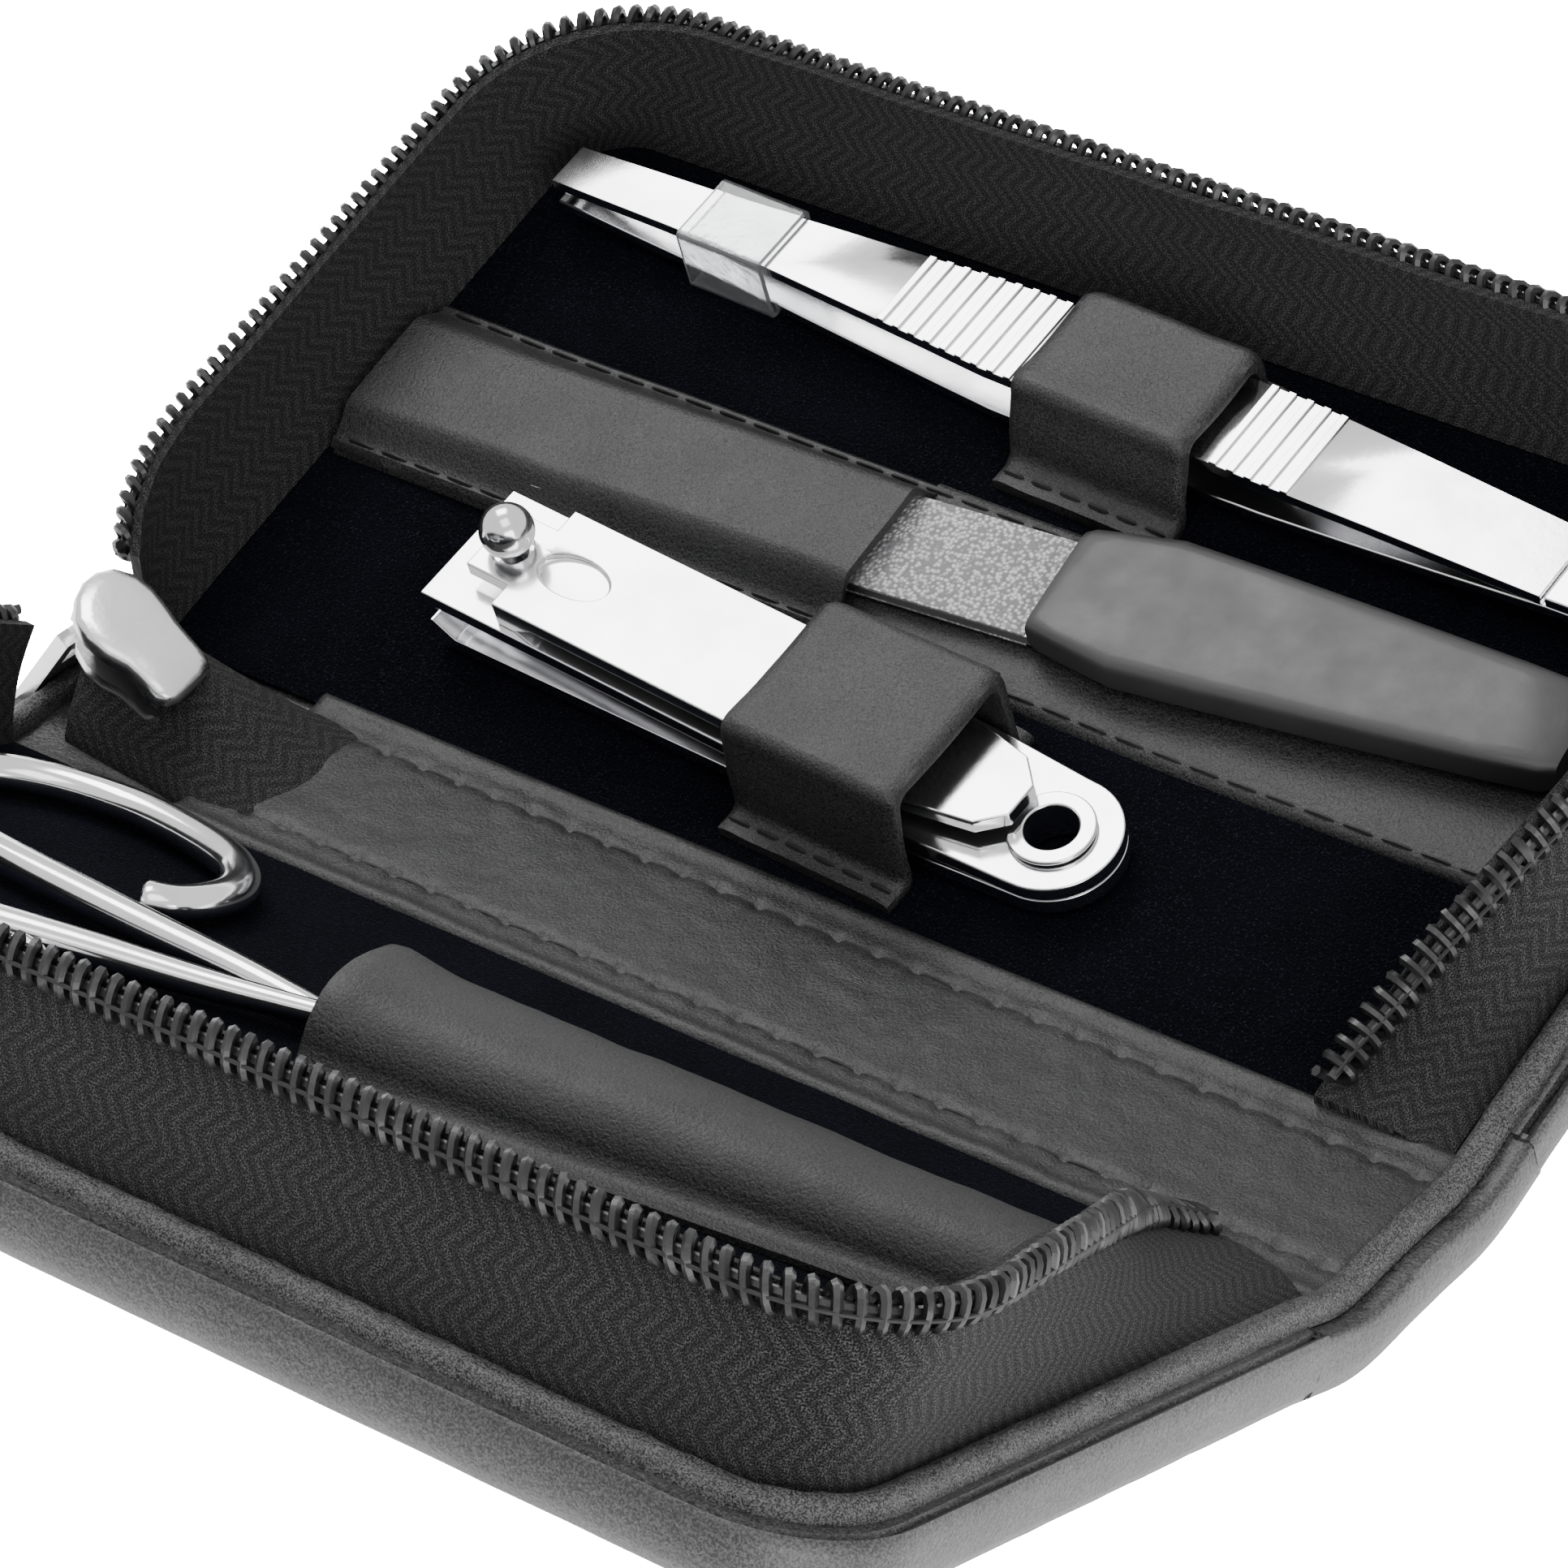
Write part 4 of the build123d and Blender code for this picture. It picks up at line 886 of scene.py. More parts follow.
@dataclass(frozen=True)
class ClearVinyl(Finish):
    """Clear soft vinyl."""

    def build(self, n: Nodes, shader: bpy.types.Node, effects: Effects) -> None:
        """Clear, with faint haze and scuffs."""
        group = place_group(n, effects.wear, solid_coords(n), Scale=500.0)
        self.tint(n, shader, group.outputs["Cloud"], (0.93, 0.94, 0.95), (0.8, 0.81, 0.82))
        n.link(n.spread(group.outputs["Cloud"], 0.3, 0.7, 0.06, 0.22), shader.inputs["Roughness"])
        shader.inputs["Transmission Weight"].default_value = 0.92
        shader.inputs["IOR"].default_value = 1.4
        self.bump(n, shader, group.outputs["Cloud"], 0.00008)


@dataclass(frozen=True)
class Board(Finish):
    """Foam or greyboard, seen only where a cut shows it."""

    dark: tuple[float, float, float] = (0.25, 0.23, 0.2)
    light: tuple[float, float, float] = (0.45, 0.42, 0.37)

    def build(self, n: Nodes, shader: bpy.types.Node, effects: Effects) -> None:
        """Fibrous flecks."""
        group = place_group(n, effects.wear, solid_coords(n), Scale=700.0)
        self.tint(n, shader, group.outputs["Fine"], self.dark, self.light)
        shader.inputs["Roughness"].default_value = 0.9
        self.bump(n, shader, group.outputs["Fine"], 0.0001)


OUTER_LEATHER = Leather("outer_leather", light=(0.07, 0.07, 0.07), grain=1300.0, wrinkle=110.0,
                        depth=0.00012,
                        roughness=0.46, coat=0.2, shine=0.6)
BINDING_LEATHER = Leather("binding_leather", light=(0.14, 0.14, 0.14), grain=1700.0, wrinkle=420.0,
                          depth=0.0002, roughness=0.5)
INNER_LEATHER = Leather("inner_leather", light=(0.05, 0.05, 0.051), grain=1900.0, wrinkle=210.0,
                        depth=0.0001,
                        roughness=0.48)
VELVET = Velvet("velvet")
TWILL = Twill("zip_tape")
COIL = Nylon("zip_coil")
THREAD = Nylon("thread", colour=(0.004, 0.004, 0.0042), roughness=0.55, coat=0.02)
STEEL = Metal("steel")
ZIP_METAL = Metal("zip_metal", colour=(0.88, 0.88, 0.88), roughness=0.2, depth=0.00002)
FILE_STEEL = Metal("file_steel", colour=(0.72, 0.72, 0.73), roughness=0.3, depth=0.00001)
GRIT = Grit("grit")
HANDLE = Plastic("handle_plastic")
VINYL = ClearVinyl("clear_sleeve")
FOAM = Board("foam", dark=(0.3, 0.3, 0.28), light=(0.5, 0.5, 0.47))
GREYBOARD = Board("greyboard")


# ----------------------------------------------------------------------------- making pieces
class Workshop:
    """Makes Blender objects from gathered meshes and seats them on bodies."""

    def __init__(self, frame: dict) -> None:
        """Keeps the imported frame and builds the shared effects.
        """
        self.nodes: dict[str, bpy.types.Object] = frame["nodes"]
        self.effects = Effects()

    def _object(self, name: str, mesh: bpy.types.Mesh, finish: Finish,
                crease: float) -> bpy.types.Object:
        """Links an object and gives it its finish and smooth shading."""
        mesh.materials.clear()
        mesh.materials.append(finish.material(self.effects))
        mesh.shade_smooth()
        mesh.set_sharp_from_angle(angle=math.radians(crease))
        made = bpy.data.objects.new(name, mesh)
        bpy.context.scene.collection.objects.link(made)
        return made

    def _mesh(self, name: str, data: MeshData, matrix: Matrix) -> bpy.types.Mesh:
        """Turns gathered data into a mesh in metres, normals outwards."""
        mesh = bpy.data.meshes.new(name)
        world = Matrix.Scale(MM, 4) @ matrix
        mesh.from_pydata([world @ v for v in data.verts], [], data.faces)
        layer = mesh.uv_layers.new(name="map")
        flat = [c for face in data.uvs for uv in face for c in uv]
        layer.data.foreach_set("uv", flat)
        cleaner = bmesh.new()
        cleaner.from_mesh(mesh)
        bmesh.ops.recalc_face_normals(cleaner, faces=cleaner.faces)
        cleaner.to_mesh(mesh)
        cleaner.free()
        return mesh

    def make(self, name: str, data: MeshData, seat: Seat, finish: Finish,
             stands_for: Sequence[str] = (), crease: float = 50.0, bevel: float = 0.0,
             levels: int = 0) -> bpy.types.Object:
        """Makes a piece that rides on its seat's body.

        Args:
            name: The piece's name.
            data: Its mesh, in the seat's millimetres.
            seat: Where it lies.
            finish: Its finish.
            stands_for: CAD nodes that it replaces.
            crease: Angle in degrees above which an edge stays sharp.
            bevel: Width of a rounded edge in millimetres, or 0.
            levels: Levels of subdivision.

        Returns:
            The object.
        """
        made = self._object(name, self._mesh(name, data, seat.matrix), finish, crease)
        self._modify(made, bevel, levels)
        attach(made, seat.body)
        if stands_for:
            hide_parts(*stands_for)
        LOG.info("piece %s: %d faces on %s", name, len(data.faces), seat.body)
        return made

    def bridge(self, name: str, data: MeshData, bodies: tuple[str, str],
               finish: Finish, stands_for: Sequence[str] = ()) -> bpy.types.Object:
        """Makes a piece whose mesh is shaped over the fold between two bodies; it rides on neither.

        Args:
            name: The piece's name.
            data: Its mesh, in the row frame's millimetres.
            bodies: The two bodies.
            finish: Its finish.
            stands_for: CAD nodes that it replaces.

        Returns:
            The object.
        """
        made = self._object(name, self._mesh(name, data, Matrix.Identity(4)), finish, 60.0)
        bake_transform(made)
        if stands_for:
            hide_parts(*stands_for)
        LOG.info("piece %s: bends from %s to %s", name, *bodies)
        return made

    def _modify(self, made: bpy.types.Object, bevel: float, levels: int) -> None:
        """Adds the bevel and subdivision that a piece asks for."""
        if bevel:
            rim = made.modifiers.new("rounded_edges", "BEVEL")
            rim.width = bevel * MM
            rim.segments = 3
            rim.limit_method = "ANGLE"
            rim.angle_limit = math.radians(28)
            rim.harden_normals = False
        if levels:
            soft = made.modifiers.new("soft", "SUBSURF")
            soft.levels = levels
            soft.render_levels = levels

    def refine(self, node: str, finish: Finish, bevel: float,
               crease: float = 35.0) -> bpy.types.Object:
        """Copies a CAD node's shape into a piece with rounded edges.

        Args:
            node: The CAD node.
            finish: The piece's finish.
            bevel: Width of its rounded edges in millimetres.
            crease: Angle in degrees above which an edge stays sharp.

        Returns:
            The object.
        """
        source = self.nodes[node]
        mesh = source.data.copy()
        cleaner = bmesh.new()
        cleaner.from_mesh(mesh)
        bmesh.ops.remove_doubles(cleaner, verts=cleaner.verts, dist=2e-6)
        bmesh.ops.dissolve_limit(cleaner, angle_limit=math.radians(0.6), verts=cleaner.verts,
                                 edges=cleaner.edges)
        cleaner.to_mesh(mesh)
        cleaner.free()
        made = self._object(node + "_finished", mesh, finish, crease)
        self._modify(made, bevel, 0)
        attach(made, source["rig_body"])
        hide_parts(node)
        LOG.info("piece %s: refined from the frame", made.name)
        return made

    def dress(self, node: str, finish: Finish) -> None:
        """Gives a carried-over CAD node its finish.

        Args:
            node: The CAD node.
            finish: The finish.
        """
        holder = self.nodes[node]
        if not holder.material_slots:
            holder.data.materials.append(None)
        for held in holder.material_slots:
            held.material = finish.material(self.effects)


# ----------------------------------------------------------------------------- the trays
@dataclass
class Tray:
    """One leaf of the case: padded cover, binding, velvet, tape wall and coil."""

    place: Place
    rim_height: float = 11.7
    lean_far: float = 2.8
    rim_corner: float = 14.0
    left_rim: tuple[tuple[float, float, float], ...] = (
        (-1.5, 1.9, 8.6), (1.2, 0.6, 9.3), (4.0, -0.9, 10.4), (7.5, -1.8, 11.3), (12.0, -2.2, 11.7))
    right_rim: tuple[tuple[float, float, float], ...] = (
        (0.3, 10.4, 1.0), (3.7, 10.0, 2.0), (8.0, 8.5, 4.6), (12.0, 6.9, 7.3), (18.0, 4.7, 9.8),
        (24.2, 3.1, 11.2), (32.0, 2.3, 11.6), (40.0, 2.0, 11.7))
    wrinkle: float = 0.22
    coil_pitch: float = 1.27
    coil_up: float = 1.15
    coil_out: float = 0.6
    wire: float = 0.35

    @property
    def seat(self) -> Seat:
        """The tray's seat."""
        return SEATS[self.place]

    def build(self, shop: Workshop) -> None:
        """Makes all of the tray's pieces.

        Args:
            shop: The workshop.
        """
        self._cover(shop)
        self._binding(shop)
        self._lining(shop)
        self._tape(shop)
        self._coil(shop)
        label = self.place.value
        shop.dress(label + "_padding", FOAM)
        shop.dress(label + "_board", GREYBOARD)

    def _cover(self, shop: Workshop) -> None:
        """Padded leather cover with its rolled edge."""
        profile = [(5.5, 5.15), (1.25, 5.1), (1.0, 4.55), (0.72, 4.95), (0.35, 5.15), (0.05, 4.85),
                   (-0.02, 4.0), (0.0, 2.9), (0.2, 1.7), (0.75, 0.75), (1.6, 0.2), (3.0, 0.0),
                   (6.0, 0.0)]
        sections = []
        for inset, z in profile:
            ring = full_ring(inset, CASE.cover_corner)
            for p in ring:
                p.z = z
                if 0.1 < z < 5.0 and inset < 2:
                    push = 0.12 * ripple(p.x, p.y, z + 7, 0.35)
                    p += Vector((push if p.x > 0 else -push, push, 0)) * 0.7
            sections.append(ring)
        data = sweep(sections)
        cover = shop.make(self.place.value + "_cover", data, self.seat, OUTER_LEATHER,
                          [self.place.value + "_cover_leather"])

    def _binding(self, shop: Workshop) -> None:
        """Wrinkled narrow leather band over the seam."""
        path = three_sides(-CASE.seam_half, CASE.seam_half, CASE.soft_fold - 0.3, CASE.seam_depth,
                           CASE.seam_corner, (60, 14, 150))
        sections = []
        for k, (p, n) in enumerate(path):
            section = []
            for j, (out, z) in enumerate(BAND_SHAPE):
                raised = 1.0 if 0 < j < len(BAND_SHAPE) - 1 else 0.0
                crumple = ripple(p.x, p.y, j * 2.1, 0.75) + 0.6 * ripple(p.x, p.y, j * 3.7, 1.7)
                spot = p + n * (out + raised * self.wrinkle * 0.7 * crumple)
                spot.z = z + raised * self.wrinkle * crumple
                section.append(spot)
            sections.append(section)
        shop.make(self.place.value + "_binding", sweep(sections), self.seat, BINDING_LEATHER,
                  [self.place.value + "_edge_binding"])

    def _lining(self, shop: Workshop) -> None:
        """Velvet over the tray's floor."""
        x0, v0, v1, r = CASE.seam_half - 0.4, 0.9, CASE.seam_depth - 0.4, CASE.seam_corner
        rows = 60
        top: list[Section] = []
        for i in range(rows + 1):
            v = mix(v0, v1, i / rows)
            edge = x0
            if v > v1 - r:
                edge = x0 - r + math.sqrt(max(r * r - (v - v1 + r) ** 2, 0.0))
            row = []
            for j in range(111):
                x = mix(-edge, edge, j / 110)
                row.append(Vector((x, v, CASE.floor_z + 0.06 * ripple(x, v, 3, 0.12))))
            top.append(row)
        sections = []
        for row in top:
            under = [Vector((p.x, p.y, CASE.floor_z - 0.35)) for p in reversed(row)]
            sections.append(row + under)
        lining = shop.make(self.place.value + "_lining", sweep(sections), self.seat, VELVET,
                           [self.place.value + "_velvet_lining"])

    def _rim(self, v: float, right: bool) -> Point2:
        """Course of the rim on one side.

        Args:
            v: Distance from the fold axis.
            right: Whether this is the end away from the slider.

        Returns:
            How far it is drawn in from the seam, and its height over the lining.
        """
        course = self.right_rim if right else self.left_rim
        if v <= course[0][0]:
            return course[0][1:]
        for (v0, d0, h0), (v1, d1, h1) in zip(course, course[1:]):
            if v <= v1:
                t = (v - v0) / (v1 - v0)
                return mix(d0, d1, t), mix(h0, h1, t)
        return course[-1][1:]

    def _wall(self) -> list[tuple[Vector, Vector, Vector]]:
        """Foot, rim and outward normal at each station round the tray."""
        start = 1.2
        counts = (44, 14, 88)
        feet = three_sides(-CASE.seam_half, CASE.seam_half, start, CASE.seam_depth,
                           CASE.seam_corner, counts)
        left, right = self.left_rim[-1][1], self.right_rim[-1][1]
        rims = three_sides(-CASE.seam_half + left, CASE.seam_half - right, start,
                           CASE.seam_depth + self.lean_far, self.rim_corner, counts)
        wall = []
        for (foot, _), (rim, n) in zip(feet, rims):
            top = rim.copy()
            height = self.rim_height
            if abs(n.y) < 1e-6:
                draw, height = self._rim(rim.y, rim.x > 0)
                top.x = math.copysign(CASE.seam_half - draw, rim.x)
            top.z = CASE.floor_z + height
            base = foot.copy()
            base.z = CASE.floor_z
            up = (top - base).normalized()
            wall.append((base, top, (n - up * n.dot(up)).normalized()))
        return wall

    def _tape(self, shop: Workshop) -> None:
        """Woven tape wall, standing on the seam."""
        rows = 9
        sections = []
        for base, top, n in self._wall():
            outer, inner = [], []
            edge = top - (top - base).normalized() * 0.45
            for i in range(rows + 1):
                t = i / rows
                bulge = 0.5 * math.sin(math.pi * t) + 0.16 * ripple(base.x, base.y, t * 9, 0.16) * t
                spot = base.lerp(edge, t) + n * bulge
                outer.append(spot)
                inner.append(spot - n * CASE.tape)
            sections.append(outer + inner[::-1])
        data = sweep(sections)
        tape = shop.make(self.place.value + "_tape", data, self.seat, TWILL,
                         [self.place.value + "_zip_tape"])

    @staticmethod
    def _tape_area(sections: Sequence[Section], rows: int) -> float:
        """Area of the tape's outer face in square millimetres."""
        total = 0.0
        for a, b in zip(sections, sections[1:]):
            tall = (a[rows] - a[0]).length
            total += tall * ((b[0] - a[0]).length + (b[rows] - a[rows]).length) / 2
        return total

    def _coil(self, shop: Workshop) -> None:
        """Nylon coil sewn on the outer face of the rim, with its cord and sewing thread."""
        stations = []
        for base, top, n in self._wall():
            up = (top - base).normalized()
            stations.append((top - up * 1.0 + n * 0.7, up, n))
        length = [0.0]
        for a, b in zip(stations, stations[1:]):
            length.append(length[-1] + (b[0] - a[0]).length)
        steps = 12
        turns = int(length[-1] / self.coil_pitch)
        points, radii, cord, sewn = [], [], [], []
        k = 0
        for i in range(turns * steps + 1):
            s = i * self.coil_pitch / steps
            while k < len(length) - 2 and length[k + 1] < s:
                k += 1
            t = (s - length[k]) / max(length[k + 1] - length[k], 1e-6)
            centre, up, out = (stations[k][m].lerp(stations[k + 1][m], t) for m in range(3))
            phase = 2 * math.pi * i / steps
            head = max(math.cos(phase), 0.0)
            points.append(centre + up * self.coil_up * math.cos(phase)
                          + out * self.coil_out * math.sin(phase))
            radii.append(self.wire + 0.05 * head ** 3)
            if i % steps == 0:
                cord.append(centre)
                sewn.append(centre - up * 0.35 + out * (self.coil_out + 0.16))
        data = tube(points, radii, 6)
        data.add(tube(cord, [0.36] * len(cord), 6))
        shop.make(self.place.value + "_coil", data, self.seat, COIL,
                  [self.place.value + "_zip_coil"])
        shop.make(self.place.value + "_coil_thread", tube(sewn, [0.14] * len(sewn), 5), self.seat,
                  THREAD)


# ----------------------------------------------------------------------------- the spine
@dataclass
class Spine:
    """Leather spine between the trays, with its sewn strip and the zip's tail."""

    strip_start: float = -38.5
    strip_end: float = 54.5
    over: float = 1.9
    row_margin: float = 1.9
    pitch: float = 3.2

    def build(self, shop: Workshop) -> None:
        """Makes the spine's pieces.

        Args:
            shop: The workshop.
        """
        self._crossing(shop, "spine_leather", self._slab_profile(), OUTER_LEATHER,
                       ["spine_cover_leather"],
                       CASE.soft_fold)
        self._crossing(shop, "spine_strip", self._strip_profile(), INNER_LEATHER,
                       ["spine_inner_strip"],
                       self.over)
        for side in (-1, 1):
            name = "spine_binding_left" if side < 0 else "spine_binding_right"
            self._crossing(shop, name, self._binding_profile(side), BINDING_LEATHER, [],
                           CASE.soft_fold)
        self._stitches(shop)
        self._tail(shop)
        shop.dress("spine_board", GREYBOARD)

    @staticmethod
    def _slab_profile() -> Callable[[float], list[Vector]]:
        """Outer leather: a plate with rolled ends, as thick as the trays' covers."""
        def profile(v: float) -> list[Vector]:
            low, top = 0.05, 5.0
            x = CASE.half_length - 0.02
            half = []
            for dx, t in ((4.5, 1.0), (0.95, 0.98), (0.35, 1.0), (0.05, 0.93), (0.0, 0.5),
                          (0.35, 0.2),
                          (1.5, 0.0), (6.0, 0.0)):
                half.append((x - dx, mix(low, top, t)))
            left = [Vector((-px, v, pz)) for px, pz in reversed(half)]
            return [Vector((px, v, pz)) for px, pz in half] + left
        return profile

    def _strip_profile(self) -> Callable[[float], list[Vector]]:
        """Inner strip: fine along X, dented at every stitch."""
        def profile(v: float) -> list[Vector]:
            count = 240
            edge = min(abs(v - self.over), abs(v + CASE.spine_width + self.over))
            puff = 0.62 * min(edge / 0.7, 1.0) ** 0.5
            top = []
            for i in range(count + 1):
                x = mix(self.strip_start, self.strip_end, i / count)
                dent = 0.0
                for row in (-self.row_margin, -CASE.spine_width + self.row_margin):
                    near = abs(v - row)
                    if near < 1.4:
                        spot = (x - self.strip_start) % self.pitch - self.pitch / 2
                        dent += 0.16 * math.exp(-(near / 0.5) ** 2)
                        dent += 0.3 * math.exp(-(near / 0.55) ** 2 - (spot / 0.45) ** 2)
                wave = 0.14 * ripple(x, v, 5, 0.22) + 0.07 * ripple(x, v, 9, 0.8)
                close = min(x - self.strip_start, self.strip_end - x)
                lift = puff * min(close / 0.6 + 0.15, 1.0) ** 0.5
                top.append(Vector((x, v, CASE.floor_z + lift - dent + wave * (1 if puff else 0))))
            under = [Vector((p.x, v, CASE.floor_z - 0.25)) for p in top[::-6]]
            return top + under
        return profile

    @staticmethod
    def _binding_profile(side: int) -> Callable[[float], list[Vector]]:
        """Binding over the seam at one end of the spine."""
        def profile(v: float) -> list[Vector]:
            out = []
            for j, (o, z) in enumerate(BAND_SHAPE):
                crumple = 0.2 * ripple(v, side * 3.0, j * 2.3, 0.8) if 0 < j < 6 else 0.0
                out.append(Vector((side * (CASE.seam_half + o + crumple), v, z + crumple)))
            return out
        return profile

    def _crossing(self, shop: Workshop, name: str, profile: Callable[[float], list[Vector]],
                  finish: Finish, stands_for: Sequence[str], reach: float) -> None:
        """Makes a strip over both folds: two bending parts and a middle.

        Args:
            shop: The workshop.
            name: First part of the pieces' names.
            profile: Section at a distance from the first fold axis.
            finish: The finish.
            stands_for: CAD nodes that the middle replaces.
            reach: How far it bends on each side of a fold axis.
        """
        wide = CASE.spine_width
        start, stop = reach, -reach
        spans = {
            "_far_fold": [mix(start, stop, i / 10) for i in range(11)],
            "_middle": [mix(stop, -wide - stop, i / 34) for i in range(35)],
            "_near_fold": [mix(-wide - stop, -wide - start, i / 10) for i in range(11)],
        }
        for part, places in spans.items():
            sections = [[across(p.x, p.y, p.z, reach) for p in profile(v)] for v in places]
            data = sweep(sections)
            if part == "_middle":
                seat = Seat(Matrix.Identity(4), "spine")
                shop.make(name + part, data, seat, finish, stands_for)
                continue
            first = part == "_far_fold"
            bodies = ("far_tray", "spine") if first else ("spine", "near_tray")
            shop.bridge(name + part, data, bodies, finish)

    def _stitches(self, shop: Workshop) -> None:
        """Two rows of thread along the strip."""
        data = MeshData()
        for row in (-self.row_margin, -CASE.spine_width + self.row_margin):
            count = int((self.strip_end - self.strip_start) / self.pitch) - 1
            for i in range(count):
                x = self.strip_start + self.pitch * (i + 0.5)
                z = CASE.floor_z + 0.22
                a, b = (Vector((x + self.pitch * t, row, z)) for t in (0.1, 0.9))
                data.add(capsule(a, b, 0.2, Vector((0, 0, 0.16))))
        data.moved(lambda p: across(p.x, p.y, p.z))
        shop.make("spine_thread", data, Seat(Matrix.Identity(4), "spine"), THREAD,
                  ["spine_stitches"])

    def _tail(self, shop: Workshop) -> None:
        """Woven tail of the zip, saddled over the spine's left end."""
        middle = -CASE.spine_width / 2
        stations = [(-50.5, 5.2, 8.4, 3.2), (-47.5, 5.6, 8.0, 3.6), (-44.5, 6.0, 7.2, 4.2),
                    (-41.0, 6.4, 5.2, 5.2),
                    (-38.0, 6.9, 3.0, 6.0), (-35.0, 7.2, 1.3, 6.6), (-32.5, 7.2, 0.5, 6.8)]
        sections = []
        for x, half, height, crown in stations:
            section = []
            for i in range(25):
                t = i / 24 * 2 - 1
                ridge = height * max(0.0, 1 - abs(t) ** (crown / 3.0)) ** 0.8
                section.append(Vector((x, middle + half * t, CASE.floor_z + 0.05 + ridge)))
            under = [Vector((p.x, p.y, p.z - 0.5)) for p in section[::-1]]
            sections.append(section + under)
        data = sweep(sections)
        shop.make("zip_tail_saddle", data, SEATS[Place.SPINE], TWILL, ["zip_tail"])


@dataclass
class Slider:
    """Cast zip slider with domed plates, and its pull."""

    middle: tuple[float, float, float] = (-47.5, -7.5, 12.323)
    pitch: float = 20.0
    outline: tuple[Point2, ...] = ((-5.2, 0.6), (-4.7, 1.9), (-3.4, 2.7), (-1.8, 2.75), (0.2, 2.2),
                                   (1.9, 1.6), (3.6, 1.2),
                                   (5.2, 0.8), (5.9, 0.3), (6.2, -1.0), (6.5, -3.4), (6.2, -4.5),
                                   (5.4, -4.85),
                                   (4.0, -4.7), (2.4, -4.5), (0.6, -4.9), (-1.2, -4.8),
                                   (-3.0, -4.0), (-4.4, -2.4),
                                   (-5.1, -0.8))

    def build(self, shop: Workshop) -> None:
        """Makes the two domed plates with their post and refines the pull.

        Args:
            shop: The workshop.
        """
        spine = SEATS[Place.SPINE].matrix
        tilt = Matrix.Translation(self.middle) @ Matrix.Rotation(math.radians(self.pitch), 4, "Y")
        seat = Seat(spine @ tilt, "spine")
        data = self._plate(0.9, 1.3, 1.0)
        data.add(self._plate(-1.1, -1.5, 0.86))
        data.add(slab([(-4.6, -1.9), (-2.2, -1.9), (-2.2, 0.5), (-4.6, 0.5)], -1.2, 1.0))
        shop.make("slider_body", data, seat, ZIP_METAL, ["zip_slider"], crease=70)
        shop.refine("zip_pull", ZIP_METAL, 0.25)

    def _plate(self, flat: float, crown: float, share: float) -> MeshData:
        """One plate, domed away from the coils.

        Args:
            flat: Height of its flat face.
            crown: How far its middle stands off.
            share: Its size as a share of the outline.

        Returns:
            The plate.
        """
        cx = sum(p[0] for p in self.outline) / len(self.outline)
        cy = sum(p[1] for p in self.outline) / len(self.outline)
        sections = []
        for reach, rise in ((1.0, 0.0), (1.0, 0.35), (0.97, 0.6), (0.9, 0.8), (0.75, 0.93),
                            (0.5, 1.0), (0.2, 1.03)):
            sections.append([Vector((cx + (x - cx) * reach * share, cy + (y - cy) * reach * share,
                                     flat + crown * rise)) for x, y in self.outline])
        return sweep(sections)


# ----------------------------------------------------------------------------- leather fittings
def stitch_line(a: Vector, b: Vector, pitch: float, radius: float = 0.2) -> MeshData:
    """Straight row of stitches.

    Args:
        a: Start.
        b: End.
        pitch: Distance from stitch to stitch.
        radius: Radius of the thread.

    Returns:
        All stitches of the row.
    """
    data = MeshData()
    count = max(int((b - a).length / pitch), 1)
    for i in range(count):
        p = a.lerp(b, (i + 0.15) / count)
        q = a.lerp(b, (i + 0.85) / count)
        data.add(capsule(p, q, radius, Vector((0, 0, 0.12))))
    return data


